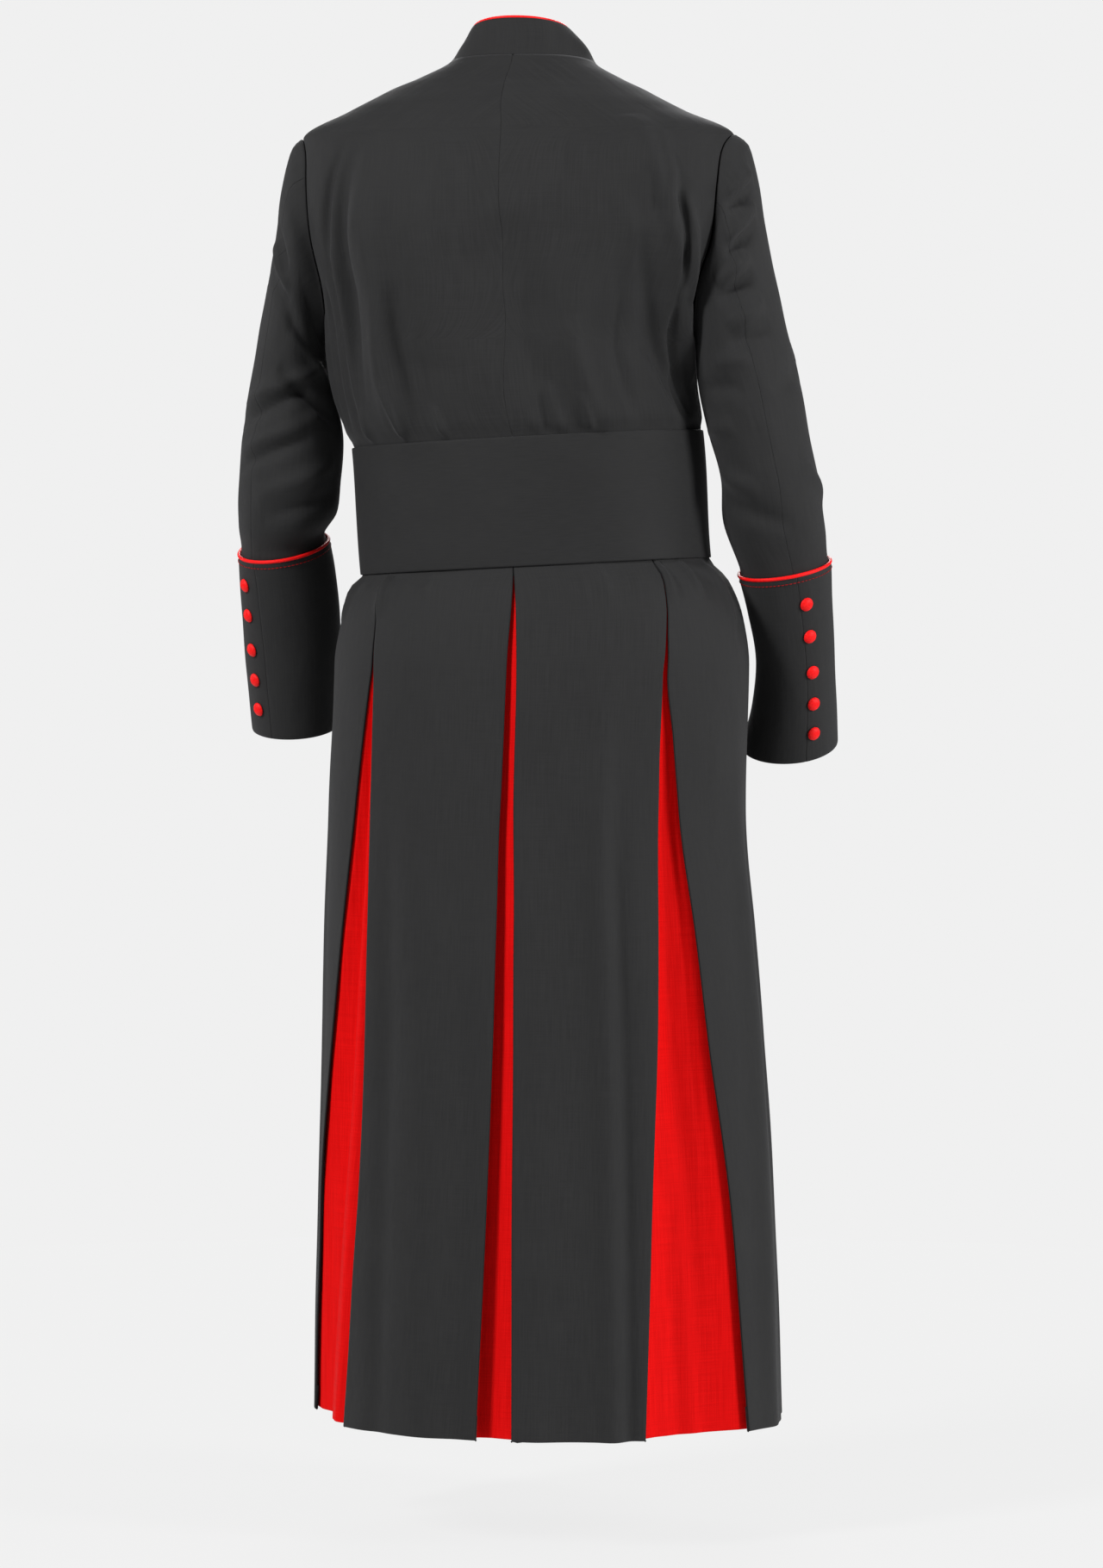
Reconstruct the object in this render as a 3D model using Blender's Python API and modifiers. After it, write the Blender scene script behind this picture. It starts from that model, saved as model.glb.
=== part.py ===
"""A clergy robe worn and hollow: a cassock with a stand collar, turned-back cuffs, a waist band
and a skirt with three inverted pleats at the back.

Metres, +Z up. The front faces -Y and the wearer's left is +X. The origin is at the base of the
neck, level with the foot of the collar at the centre back.

The body of the garment is one smooth surface, a stack of rings. Angle 0 is the centre back,
+90 degrees the wearer's left side and 180 degrees the centre front. Each cloth piece is a patch
of that surface between two seams, given its thickness by Solidify.
"""

import math
from collections import namedtuple

import bmesh
import bpy
import numpy as np
from mathutils import Matrix, Vector

MM = 0.001

# Cloth and seams
CLOTH = 1.5 * MM
CUFF_CLOTH = 2.4 * MM
COLLAR_CLOTH = 2.4 * MM
BAND_CLOTH = 1.6 * MM
SEAM_GAP = 0.5 * MM
RIDGE_GAP = 0.3 * MM
SLEEVE_SEAM_GAP = 1.5 * MM
LAYER_GAP = 0.6 * MM
CUFF_LAYER_GAP = 0.8 * MM
BAND_GAP = 0.9 * MM

# Levels
HEM = -1450 * MM
BAND_TOP = -405 * MM
BAND_FOOT = -541 * MM
UNDERARM = -303 * MM
SHOULDER = -83 * MM
NECK_SEAM = 2 * MM

# Armhole and front lap
ARMHOLE_HALF_DEPTH = 66 * MM
ARMHOLE_POWER = 2.2
ARMHOLE_GAP = 0.6 * MM
ARMHOLE_LIP = 2.0 * MM
LAP = 16 * MM
LAP_RAMP = 12 * MM
LAP_MARGIN = 2 * MM
LAP_LIFT = CLOTH + LAYER_GAP
BAND_LAP_REACH = 55 * MM
SIDE_SEAM = math.radians(90)
SKIRT_SIDE_SEAM = math.radians(100)
CENTRE_FRONT = math.pi

# Pleat inserts
INSERT_GAP = 0.9 * MM
INSERT_TUCK = 16 * MM
INSERT_SHORTER = 1.5 * MM

# Trim
PIPING_RADIUS = 1.7 * MM
PIPING_GAP = 0.35 * MM
COLLAR_OPENING = 1.0 * MM
BUTTON_RADIUS = 7.5 * MM
BUTTON_HEIGHT = 4.6 * MM
BUTTON_GAP = 0.35 * MM
CUFF_BUTTONS = 5
FRONT_BUTTON_PITCH = 76 * MM
FRONT_BUTTON_TOP = -75 * MM
FRONT_BUTTON_LOWEST = -960 * MM

# The rings of the body, in millimetres. rise lifts the back of a ring and lowers its front,
# dip lowers its front alone, lean is its slope from side to side and power its squareness.
Ring = namedtuple("Ring", "z half_width half_depth centre_x centre_y rise dip lean power")
RINGS = [
    Ring(-1450, 252, 200, -22, 20, 0, 0, 0, 2.10),
    Ring(-1227, 245, 190, -20, 18, 0, 0, 0, 2.10),
    Ring(-1042, 236, 180, -17, 16, 0, 0, 0, 2.12),
    Ring(-930, 230, 173, -13, 15, 0, 0, 0, 2.15),
    Ring(-800, 223, 162, -9, 13, 0, 0, 0, 2.20),
    Ring(-645, 222.5, 152, -12, 10, 0, 0, 0, 2.25),
    Ring(-600, 216, 147, -11, 6, 0, 0, -0.020, 2.25),
    Ring(-562, 202, 138, -8, 2, 0, 0, -0.040, 2.25),
    Ring(-541, 186.3, 127, -4, 0, 0, 0, -0.050, 2.20),
    Ring(-405, 186, 126.5, 5, 0, 0, 0, -0.050, 2.20),
    Ring(-388, 191, 131, 9, 1, 0, 0, -0.040, 2.20),
    Ring(-350, 194, 135, 17, 2, 0, 0, -0.020, 2.25),
    Ring(-303, 197, 137, 21, 2, 0, 0, 0, 2.35),
    Ring(-256, 208, 137, 17, 3, 0, 0, 0, 2.50),
    Ring(-190, 230, 134, 12, 6, 0, 0, 0, 2.60),
    Ring(-133, 236, 122, 12, 11, 0, 2, 0, 2.45),
    Ring(-83, 232, 103, 12.6, 14, 3, 6, 0, 2.10),
    Ring(-56, 184, 92, 15, 13, 5, 16, 0, 2.00),
    Ring(-39, 154.5, 82, 14.5, 8, 4, 26, 0, 2.00),
    Ring(-30, 140, 78, 14, 4, 3, 34, 0, 2.00),
    Ring(-18, 115.5, 75, 11.5, 0, 1, 42, 0, 2.00),
    Ring(2, 81, 71, 9, -5, -2, 50, 0, 2.00),
    Ring(18, 69, 65, 8.5, -9, 2, 37, 0, 2.00),
    Ring(34.5, 54.5, 60, 12, -12, 6, 24, 0, 2.00),
]
COLLAR_TOP = RINGS[-1].z * MM

# The centre-back seam of the bodice: levels in millimetres and angles in degrees
CENTRE_BACK_LINE = [
    (-470, -0.8), (-394, -0.8), (-303, -2.4), (-242, -0.5), (-163, 0.1), (-91, 0.4), (2, 0.8),
]

# The edges of the three pleats at the back of the skirt: at each level, the angles in degrees
# of the pleat's edge nearer the wearer's right and of the one nearer the wearer's left, and how
# deep the insert sinks between them, in millimetres.
PleatLevel = namedtuple("PleatLevel", "z right left sink")
PLEATS = {
    "pleat_centre": [
        PleatLevel(-541, 1.0, 1.0, 0),
        PleatLevel(-651, 0.6, 2.6, 5),
        PleatLevel(-765, 0.4, 2.9, 8),
        PleatLevel(-830, 0.3, 3.5, 10),
        PleatLevel(-1042, 1.4, 6.1, 16),
        PleatLevel(-1270, 2.0, 8.4, 20),
        PleatLevel(-1450, 2.0, 10.2, 24),
    ],
    "pleat_left": [
        PleatLevel(-541, 48.5, 48.5, 0),
        PleatLevel(-640, 44.9, 45.4, 1),
        PleatLevel(-673, 44.6, 46.8, 4),
        PleatLevel(-719, 44.6, 49.0, 8),
        PleatLevel(-830, 45.0, 54.4, 14),
        PleatLevel(-1042, 46.5, 68.0, 20),
        PleatLevel(-1200, 47.8, 78.0, 22),
        PleatLevel(-1320, 50.0, 84.0, 23),
        PleatLevel(-1450, 52.6, 88.0, 24),
    ],
    "pleat_right": [
        PleatLevel(-541, -46.0, -46.0, 0),
        PleatLevel(-626, -41.0, -40.1, 1),
        PleatLevel(-655, -40.5, -38.9, 2),
        PleatLevel(-720, -43.3, -38.8, 6),
        PleatLevel(-790, -46.3, -39.2, 10),
        PleatLevel(-920, -50.2, -37.6, 14),
        PleatLevel(-1042, -52.8, -35.4, 18),
        PleatLevel(-1211, -58.5, -32.4, 22),
        PleatLevel(-1450, -63.4, -29.4, 26),
    ],
}

# The sections of the sleeves below the armhole, in millimetres, with x counted outwards from
# the middle of the body: the outer edge, the inner edge, the place of the middle from front to
# back, half the depth there, and how far the back of the section hangs below its middle.
Section = namedtuple("Section", "outer_x outer_z inner_x inner_z mid_y half_depth droop")
SLEEVES = {
    "left": [
        Section(258, -97, 221.5, -306, 8, 70, 0),
        Section(268, -132, 221.0, -312, 7, 71, 0),
        Section(274, -180, 220.0, -320, 6, 70, 2),
        Section(284, -235, 218.0, -331, 6, 69, 2),
        Section(294, -290, 215.0, -346, 7, 67, 2),
        Section(303, -340, 210.5, -366, 9, 65, 2),
        Section(312, -398, 204.0, -404, 11, 62, 3),
        Section(317, -450, 207.5, -448, 9, 60, 6),
        Section(319, -494, 213.0, -484, 0, 57, 11),
        Section(318, -516, 228.5, -506, -9, 49, 14),
        Section(319, -526, 227.0, -516, -13, 50, 15),
        Section(320, -560, 223.0, -549, -27, 48, 16),
        Section(321, -618, 222.0, -608, -51, 46, 16),
        Section(321, -668, 226.0, -662, -72, 46, 15),
        Section(320, -717, 230.0, -716, -92, 47, 13),
    ],
    "right": [
        Section(234, -97, 178.5, -306, 8, 70, 0),
        Section(243, -132, 178.5, -312, 7, 71, 0),
        Section(251, -180, 178.5, -320, 6, 70, 2),
        Section(262, -235, 179.0, -331, 6, 69, 2),
        Section(275, -290, 180.5, -346, 7, 67, 2),
        Section(288, -340, 184.0, -366, 9, 65, 2),
        Section(299, -398, 192.5, -398, 11, 62, 3),
        Section(309, -452, 205.5, -448, 9, 60, 6),
        Section(315, -500, 207.0, -494, -1, 57, 9),
        Section(316, -527, 222.5, -539, -10, 51, 10),
        Section(317, -537, 224.5, -549, -14, 51, 11),
        Section(317, -575, 232.5, -585, -29, 48, 14),
        Section(317, -634, 239.0, -640, -53, 45, 17),
        Section(317, -686, 232.0, -690, -74, 46, 18),
        Section(317, -733, 218.0, -735, -94, 47, 19),
    ],
}
CUFF_FIRST_SECTION = 10

# The back seam of each sleeve, and where the first and last cuff buttons lie, as angles round
# the section, from its outer edge (0) towards the back (90), in degrees.
SleeveLine = namedtuple("SleeveLine", "back_seam front_seam first_button last_button")
SLEEVE_LINES = {
    "left": SleeveLine(54, -126, 40, 49),
    "right": SleeveLine(72, -108, 60, 56),
}
CUFF_BUTTON_FIRST = 0.19
CUFF_BUTTON_LAST = 0.84

# The largest folds of the body: a straight line from one place to another, the half width of
# the fold and its height, which is negative for a trough. Angles in degrees, the rest in
# millimetres.
Fold = namedtuple("Fold", "angle0 z0 angle1 z1 half_width height")
FOLDS = [
    Fold(-36, -70, -40, -165, 16, 4),
    Fold(-40, -150, -84, -350, 13, 6),
    Fold(-32, -190, -72, -395, 16, -5),
    Fold(6, -120, -4, -280, 20, -3),
    Fold(-3, -260, -16, -400, 22, -4),
    Fold(43, -110, 63, -345, 18, -4),
    Fold(42, -190, 50, -400, 20, -3),
    Fold(27, -190, 40, -400, 18, -3),
    Fold(150, -130, 140, -380, 20, -3),
    Fold(-150, -150, -128, -390, 20, -4),
    Fold(122, -140, 108, -350, 18, -4),
    Fold(-125, -120, -112, -330, 18, -4),
    Fold(-21, -600, -21, -1450, 12, 5),
    Fold(142, -620, 148, -1450, 16, 4),
    Fold(-150, -620, -146, -1450, 16, 4),
    Fold(-118, -640, -122, -1450, 16, 3),
]
FOLD_REACH = 3.0
FOLD_FADE = 0.7

# A button's outline from the top of its dome to the middle of its back, as shares of its radius
# and height.
BUTTON_PROFILE = [(0, 1), (0.66, 0.80), (1, 0.30), (0.88, 0), (0, 0)]

# Grid sizes
SKIRT_LEVELS = [-470, -505, -541, -548, -558, -571, -590, -618, -660, -720, -800, -890,
                -980, -1080, -1180, -1270, -1360, -1450]
BODICE_LEVELS_BELOW = [-470, -430, -404, -385, -345, -303]
BODICE_LEVELS_ABOVE = [-68, -54, -42, -30, -17, 2]
BODICE_COLUMNS = 10
LAP_COLUMNS = 3
BAND_COLUMNS = 48
BAND_ROWS = 4
COLLAR_COLUMNS = 32
COLLAR_ROWS = 4
# Half a sleeve has as many columns as half the armhole's edge has levels, so the two meet point
# to point.
ARMHOLE_STEPS = 10
CUFF_COLUMNS = 20
CUFF_ROWS = 5
INSERT_COLUMNS = 7
BUTTON_SIDES = 10

CHARCOAL = (0.030, 0.030, 0.031)
BAND_CHARCOAL = (0.027, 0.027, 0.028)
RED = (0.680, 0.006, 0.006)
BRIGHT_RED = (0.850, 0.010, 0.010)


def smooth_table(heights, values):
    """A function through the values at rising heights that never overshoots them."""
    heights = np.asarray(heights, float)
    values = np.asarray(values, float)
    steps = np.diff(heights)
    slopes = np.diff(values) / steps
    tangents = np.zeros(len(values))
    tangents[0] = slopes[0]
    tangents[-1] = slopes[-1]
    for i in range(1, len(values) - 1):
        if slopes[i - 1] * slopes[i] > 0:
            before = 2 * steps[i] + steps[i - 1]
            after = steps[i] + 2 * steps[i - 1]
            tangents[i] = (before + after) / (before / slopes[i - 1] + after / slopes[i])

    def at(height):
        i = int(np.clip(np.searchsorted(heights, height) - 1, 0, len(steps) - 1))
        t = float(np.clip((height - heights[i]) / steps[i], 0, 1))
        from_start = (1 + 2 * t) * (1 - t) ** 2 * values[i]
        from_start += t * (1 - t) ** 2 * steps[i] * tangents[i]
        from_end = t * t * (3 - 2 * t) * values[i + 1]
        from_end -= t * t * (1 - t) * steps[i] * tangents[i + 1]
        return from_start + from_end

    return at


def ease(t):
    """A smooth step from 0 to 1."""
    t = min(max(t, 0.0), 1.0)
    return t * t * (3 - 2 * t)


def signed_power(value, power):
    return math.copysign(abs(value) ** power, value)


RING_AT = {
    field: smooth_table([r.z for r in RINGS], [getattr(r, field) for r in RINGS])
    for field in Ring._fields[1:]
}
CENTRE_BACK_AT = smooth_table(*zip(*CENTRE_BACK_LINE))


def ring_value(field, z):
    return RING_AT[field](z / MM)


def smooth_body(angle, z):
    """A point of the body's surface, before any fold."""
    power = ring_value("power", z)
    across = signed_power(math.sin(angle), 2 / power)
    back = signed_power(math.cos(angle), 2 / power)
    x = ring_value("centre_x", z) + ring_value("half_width", z) * across
    y = ring_value("centre_y", z) + ring_value("half_depth", z) * back
    height = z / MM + ring_value("rise", z) * back
    height -= ring_value("dip", z) * ((1 - back) / 2) ** 2
    height += ring_value("lean", z) * ring_value("half_width", z) * across
    return np.array([x, y, height]) * MM


def body_normal(angle, z):
    """The direction out of the body's surface."""
    round_it = smooth_body(angle + 0.01, z) - smooth_body(angle - 0.01, z)
    up_it = smooth_body(angle, z + 2 * MM) - smooth_body(angle, z - 2 * MM)
    normal = np.cross(up_it, round_it)
    return normal / np.linalg.norm(normal)


def fold_height(angle, z):
    """How far the folds push the surface out here."""
    around = 0.5 * (ring_value("half_width", z) + ring_value("half_depth", z))
    total = 0.0
    for fold in FOLDS:
        start = np.array([math.radians(fold.angle0) * around, fold.z0])
        along = np.array([math.radians(fold.angle1) * around, fold.z1]) - start
        here = np.array([angle * around, z / MM]) - start
        length = np.linalg.norm(along)
        share = float(here @ along) / length**2
        aside = abs(here[0] * along[1] - here[1] * along[0]) / length
        if 0 < share < 1 and aside < FOLD_REACH * fold.half_width:
            fade = math.sin(math.pi * share) ** FOLD_FADE if z > HEM / 2 else ease(3 * share)
            total += fold.height * fade * math.exp(-((aside / fold.half_width) ** 2))
    return total * MM


def body_point(angle, z, lift=0.0):
    """A point of the garment's body, moved out by lift."""
    return smooth_body(angle, z) + body_normal(angle, z) * (fold_height(angle, z) + lift)


def turn_for(distance, angle, z):
    """The change of angle that moves a point by a distance along its ring."""
    step = 0.01
    speed = np.linalg.norm(smooth_body(angle + step, z) - smooth_body(angle - step, z))
    return distance * 2 * step / speed


def armhole_opening(z):
    """Half the armhole's width from front to back at a level."""
    middle = (SHOULDER + UNDERARM) / 2
    share = min(abs(z - middle) / (SHOULDER - middle), 1.0)
    return ARMHOLE_HALF_DEPTH * (1 - share**ARMHOLE_POWER) ** (1 / ARMHOLE_POWER)


def armhole_angle(z, side, towards_back):
    """The angle of the armhole's edge at a level. side is 1 for the wearer's left."""
    if not UNDERARM < z < SHOULDER:
        short = turn_for(RIDGE_GAP, side * SIDE_SEAM, z)
        return side * (SIDE_SEAM - short if towards_back else SIDE_SEAM + short)
    share = armhole_opening(z) / (ring_value("half_depth", z) * MM)
    turn = math.asin(share ** (ring_value("power", z) / 2))
    return side * (SIDE_SEAM - turn if towards_back else SIDE_SEAM + turn)


# Meshes

robe = bpy.data.collections.new("clergy_robe")


def material(name, colour, roughness):
    """A plain cloth finish."""
    made = bpy.data.materials.new(name)
    made.use_nodes = True
    shader = made.node_tree.nodes["Principled BSDF"]
    shader.inputs["Base Color"].default_value = (*colour, 1)
    shader.inputs["Roughness"].default_value = roughness
    shader.inputs["Metallic"].default_value = 0
    made.diffuse_color = (*colour, 1)
    return made


def add_object(name, data, colour, roughness=0.85):
    made = bpy.data.objects.new(name, data)
    data.materials.append(material(name, colour, roughness))
    robe.objects.link(made)
    return made


def sheet(name, rows, thickness, colour, outwards=False, closed=False):
    """A wall of cloth over rows of points, each row running round from right to left."""
    grid = bmesh.new()
    verts = [[grid.verts.new(point) for point in row] for row in rows]
    columns = len(rows[0])
    for low, high in zip(verts, verts[1:]):
        for i in range(columns if closed else columns - 1):
            j = (i + 1) % columns
            grid.faces.new((low[i], high[i], high[j], low[j]))
    mesh = bpy.data.meshes.new(name)
    grid.to_mesh(mesh)
    grid.free()
    mesh.shade_smooth()
    made = add_object(name, mesh, colour)
    wall = made.modifiers.new("wall", "SOLIDIFY")
    wall.thickness = thickness
    wall.offset = 1 if outwards else -1
    return made


def patch_rows(levels, right_edge, left_edge, columns, lift=None):
    """Rows of body points between two seams, short of each seam by half the seam gap."""
    rows = []
    for z in levels:
        right = right_edge(z)
        left = left_edge(z)
        right += turn_for(SEAM_GAP / 2, right, z)
        left -= turn_for(SEAM_GAP / 2, left, z)
        angles = np.linspace(right, left, columns + 1)
        rows.append([body_point(a, z, lift(a, z) if lift else 0.0) for a in angles])
    return rows


def levels_between(levels, low_gap=False, high_gap=False):
    """Levels in metres, with the first or last moved in from its seam."""
    out = [z * MM for z in levels]
    if low_gap:
        out[0] += SEAM_GAP / 2
    if high_gap:
        out[-1] -= SEAM_GAP / 2
    return out


def centre_back(z):
    return math.radians(CENTRE_BACK_AT(z / MM))


def front_lap_left(z):
    return CENTRE_FRONT + turn_for(LAP, CENTRE_FRONT, z)


def front_lap_right(z):
    return -CENTRE_FRONT - turn_for(LAP, CENTRE_FRONT, z)


def lap_lift(angle, z):
    """The left front is lifted where it lies over the right front."""
    start, full = lap_ramp(z)
    return LAP_LIFT * ease((angle - start) / (full - start))


def lap_ramp(z):
    """The angles where the left front starts to lift, and where it is fully lifted."""
    full = turn_for(LAP + LAP_MARGIN, CENTRE_FRONT, z)
    start = turn_for(LAP + LAP_MARGIN + LAP_RAMP, CENTRE_FRONT, z)
    return CENTRE_FRONT - start, CENTRE_FRONT - full


def lapped_columns(right_edge, z, columns):
    """Angles of a left front: even, then closer over the lap."""
    lap_start, lap_full = lap_ramp(z)
    start = right_edge(z)
    start += turn_for(SEAM_GAP / 2, start, z)
    even = np.linspace(start, lap_start, columns + 1 - LAP_COLUMNS)
    return [*even, lap_full, CENTRE_FRONT, front_lap_left(z)]


def left_front_rows(levels, right_edge, columns):
    return [
        [body_point(a, z, lap_lift(a, z)) for a in lapped_columns(right_edge, z, columns)]
        for z in levels
    ]


# Body

def bodice_levels():
    armhole = []
    middle = (SHOULDER + UNDERARM) / 2
    for i in range(1, ARMHOLE_STEPS + 1):
        turn = math.pi * i / ARMHOLE_STEPS
        armhole.append((middle - (middle - UNDERARM) * math.cos(turn)) / MM)
    return levels_between([*BODICE_LEVELS_BELOW, *armhole, *BODICE_LEVELS_ABOVE], True, True)


def make_bodice():
    levels = bodice_levels()
    panels = [
        ("bodice_back_left", centre_back, lambda z: armhole_angle(z, 1, True)),
        ("bodice_back_right", lambda z: armhole_angle(z, -1, True), centre_back),
        ("bodice_front_right", front_lap_right, lambda z: armhole_angle(z, -1, False)),
    ]
    for name, right_edge, left_edge in panels:
        sheet(name, patch_rows(levels, right_edge, left_edge, BODICE_COLUMNS), CLOTH, CHARCOAL)
    rows = left_front_rows(levels, lambda z: armhole_angle(z, 1, False), BODICE_COLUMNS)
    sheet("bodice_front_left", rows, CLOTH, CHARCOAL)


def pleat_edges(name):
    """The angles of a pleat's two edges, as functions of the level."""
    table = sorted(PLEATS[name])
    heights = [row.z for row in table]
    right = smooth_table(heights, [row.right for row in table])
    left = smooth_table(heights, [row.left for row in table])
    return (lambda z: math.radians(right(z / MM))), (lambda z: math.radians(left(z / MM)))


def make_skirt():
    levels = levels_between(SKIRT_LEVELS[::-1], False, True)
    centre_right, centre_left = pleat_edges("pleat_centre")
    left_right, left_left = pleat_edges("pleat_left")
    right_right, right_left = pleat_edges("pleat_right")
    panels = [
        ("skirt_back_left", centre_left, left_right, 8),
        ("skirt_back_right", right_left, centre_right, 10),
        ("skirt_side_left", left_left, lambda z: SKIRT_SIDE_SEAM, 6),
        ("skirt_side_right", lambda z: -SKIRT_SIDE_SEAM, right_right, 7),
        ("skirt_front_right", front_lap_right, lambda z: -SKIRT_SIDE_SEAM, 10),
    ]
    for name, right_edge, left_edge, columns in panels:
        sheet(name, patch_rows(levels, right_edge, left_edge, columns), CLOTH, CHARCOAL)
    rows = left_front_rows(levels, lambda z: SKIRT_SIDE_SEAM, 11)
    sheet("skirt_front_left", rows, CLOTH, CHARCOAL)


def make_pleat_inserts():
    """Each insert is tucked behind both edges of its pleat and sinks between them."""
    for name, table in PLEATS.items():
        right_edge, left_edge = pleat_edges(name)
        rows_of = sorted(table)
        sink_at = smooth_table([row.z for row in rows_of], [row.sink for row in rows_of])
        levels = levels_between([z for z in SKIRT_LEVELS[::-1] if z * MM < BAND_FOOT])
        levels[0] += INSERT_SHORTER
        rows = []
        for z in levels:
            right = right_edge(z) - turn_for(INSERT_TUCK, right_edge(z), z)
            left = left_edge(z) + turn_for(INSERT_TUCK, left_edge(z), z)
            row = []
            for angle in np.linspace(right, left, INSERT_COLUMNS + 1):
                share = (angle - right) / (left - right)
                sink = sink_at(z / MM) * MM * math.sin(math.pi * share) ** 2
                row.append(body_point(angle, z, -(CLOTH + INSERT_GAP + sink)))
            rows.append(row)
        sheet(name, rows, CLOTH, RED)


def make_collar():
    heights = np.linspace(NECK_SEAM + SEAM_GAP, COLLAR_TOP, COLLAR_ROWS)

    def edge(sign):
        def at(z):
            return sign * (CENTRE_FRONT - turn_for(COLLAR_OPENING / 2, CENTRE_FRONT, z))

        return at

    rows = patch_rows(heights, edge(-1), edge(1), COLLAR_COLUMNS)
    sheet("collar", rows, COLLAR_CLOTH, CHARCOAL)
    path = []
    for point, below in zip(rows[-1], rows[-2]):
        up = (point - below) / np.linalg.norm(point - below)
        index = len(path)
        ahead = rows[-1][min(index + 1, COLLAR_COLUMNS)] - rows[-1][max(index - 1, 0)]
        inwards = np.cross(ahead / np.linalg.norm(ahead), up)
        path.append(point + inwards * COLLAR_CLOTH / 2 + up * (PIPING_RADIUS + PIPING_GAP))
    piping("collar_piping", path, False)


def piping(name, path, closed):
    """A round cord along a path."""
    curve = bpy.data.curves.new(name, "CURVE")
    curve.dimensions = "3D"
    spline = curve.splines.new("POLY")
    spline.points.add(len(path) - 1)
    for place, point in zip(spline.points, path):
        place.co = (*point, 1)
    spline.use_cyclic_u = closed
    curve.bevel_depth = PIPING_RADIUS
    curve.bevel_resolution = 1
    curve.use_fill_caps = not closed
    add_object(name, curve, BRIGHT_RED, 0.5)


def band_lift(angle, z):
    """How far the band stands off the body, further where it goes over the lap."""
    from_front = (CENTRE_FRONT - abs(angle)) / turn_for(BAND_LAP_REACH, CENTRE_FRONT, z)
    return BAND_GAP + LAP_LIFT * ease(2 - from_front)


def make_waist_band():
    angles = np.linspace(-math.pi, math.pi, BAND_COLUMNS, endpoint=False)
    rows = [
        [smooth_body(a, z) + body_normal(a, z) * band_lift(a, z) for a in angles]
        for z in np.linspace(BAND_FOOT, BAND_TOP, BAND_ROWS)
    ]
    sheet("waist_band", rows, BAND_CLOTH, BAND_CHARCOAL, outwards=True, closed=True)


# Sleeves

def armhole_loop_point(turn, side, out):
    """A point of the armhole's edge, moved sideways. Turn 0 is the shoulder, 90 degrees the back."""
    middle = (SHOULDER + UNDERARM) / 2
    z = middle + (SHOULDER - middle) * math.cos(turn)
    angle = armhole_angle(z, side, math.sin(turn) > 0)
    return body_point(angle, z) + np.array([side * out, 0, 0])


def section_point(section, turn, side):
    """A point of a sleeve section. Turn 0 is its outer edge, 90 degrees the back."""
    outer = np.array([side * section.outer_x, section.mid_y, section.outer_z])
    inner = np.array([side * section.inner_x, section.mid_y, section.inner_z])
    depth = np.array([0, section.half_depth, -section.droop])
    middle = (outer + inner) / 2
    return (middle + (outer - middle) * math.cos(turn) + depth * math.sin(turn)) * MM


def seam_trim(rows_at, index, turn):
    """The turn that leaves half the seam gap between a row's end and a seam along the sleeve."""
    step = 0.02
    along = (rows_at[index](turn + step) - rows_at[index](turn - step)) / (2 * step)
    above = rows_at[min(index + 1, len(rows_at) - 1)](turn)
    seam = above - rows_at[max(index - 1, 0)](turn)
    across = np.linalg.norm(np.cross(along, seam)) / np.linalg.norm(seam)
    return SLEEVE_SEAM_GAP / 2 / across


def ordered(turns, side):
    """The rows run round the same way on both sides, so that the faces point out."""
    return turns if side < 0 else turns[::-1]


def sleeve_rows(name, side, first, last):
    """Rows from the cuff end up to the armhole, between two seams."""
    rows_at = [
        lambda t, s=section: section_point(s, t, side) for section in reversed(SLEEVES[name])
    ]
    for out in (ARMHOLE_GAP + ARMHOLE_LIP, ARMHOLE_GAP):
        rows_at.append(lambda t, o=out: armhole_loop_point(t, side, o))
    rows = []
    for index, row_at in enumerate(rows_at):
        turns = np.linspace(math.radians(first), math.radians(last), ARMHOLE_STEPS + 1)
        turns[0] += seam_trim(rows_at, index, turns[0])
        turns[-1] -= seam_trim(rows_at, index, turns[-1])
        rows.append([row_at(t) for t in ordered(list(turns), side)])
    return rows


def make_sleeves():
    for name, side in (("left", 1), ("right", -1)):
        line = SLEEVE_LINES[name]
        top = sleeve_rows(name, side, line.front_seam, line.back_seam)
        under = sleeve_rows(name, side, line.back_seam, line.front_seam + 360)
        sheet(f"sleeve_top_{name}", top, CLOTH, CHARCOAL)
        sheet(f"sleeve_under_{name}", under, CLOTH, CHARCOAL)


def cuff_surface(name, side, turn, share, lift):
    """A point over the cuff part of a sleeve. share 0 is the cuff's upper edge, 1 its end."""
    sections = SLEEVES[name][CUFF_FIRST_SECTION:]
    place = share * (len(sections) - 1)
    first = min(int(place), len(sections) - 2)
    part = place - first
    mixed = Section(*(a + (b - a) * part for a, b in zip(sections[first], sections[first + 1])))
    middle = section_point(mixed, 0, side) + section_point(mixed, math.pi, side)
    out = section_point(mixed, turn, side) - middle / 2
    return section_point(mixed, turn, side) + out / np.linalg.norm(out) * lift


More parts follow.
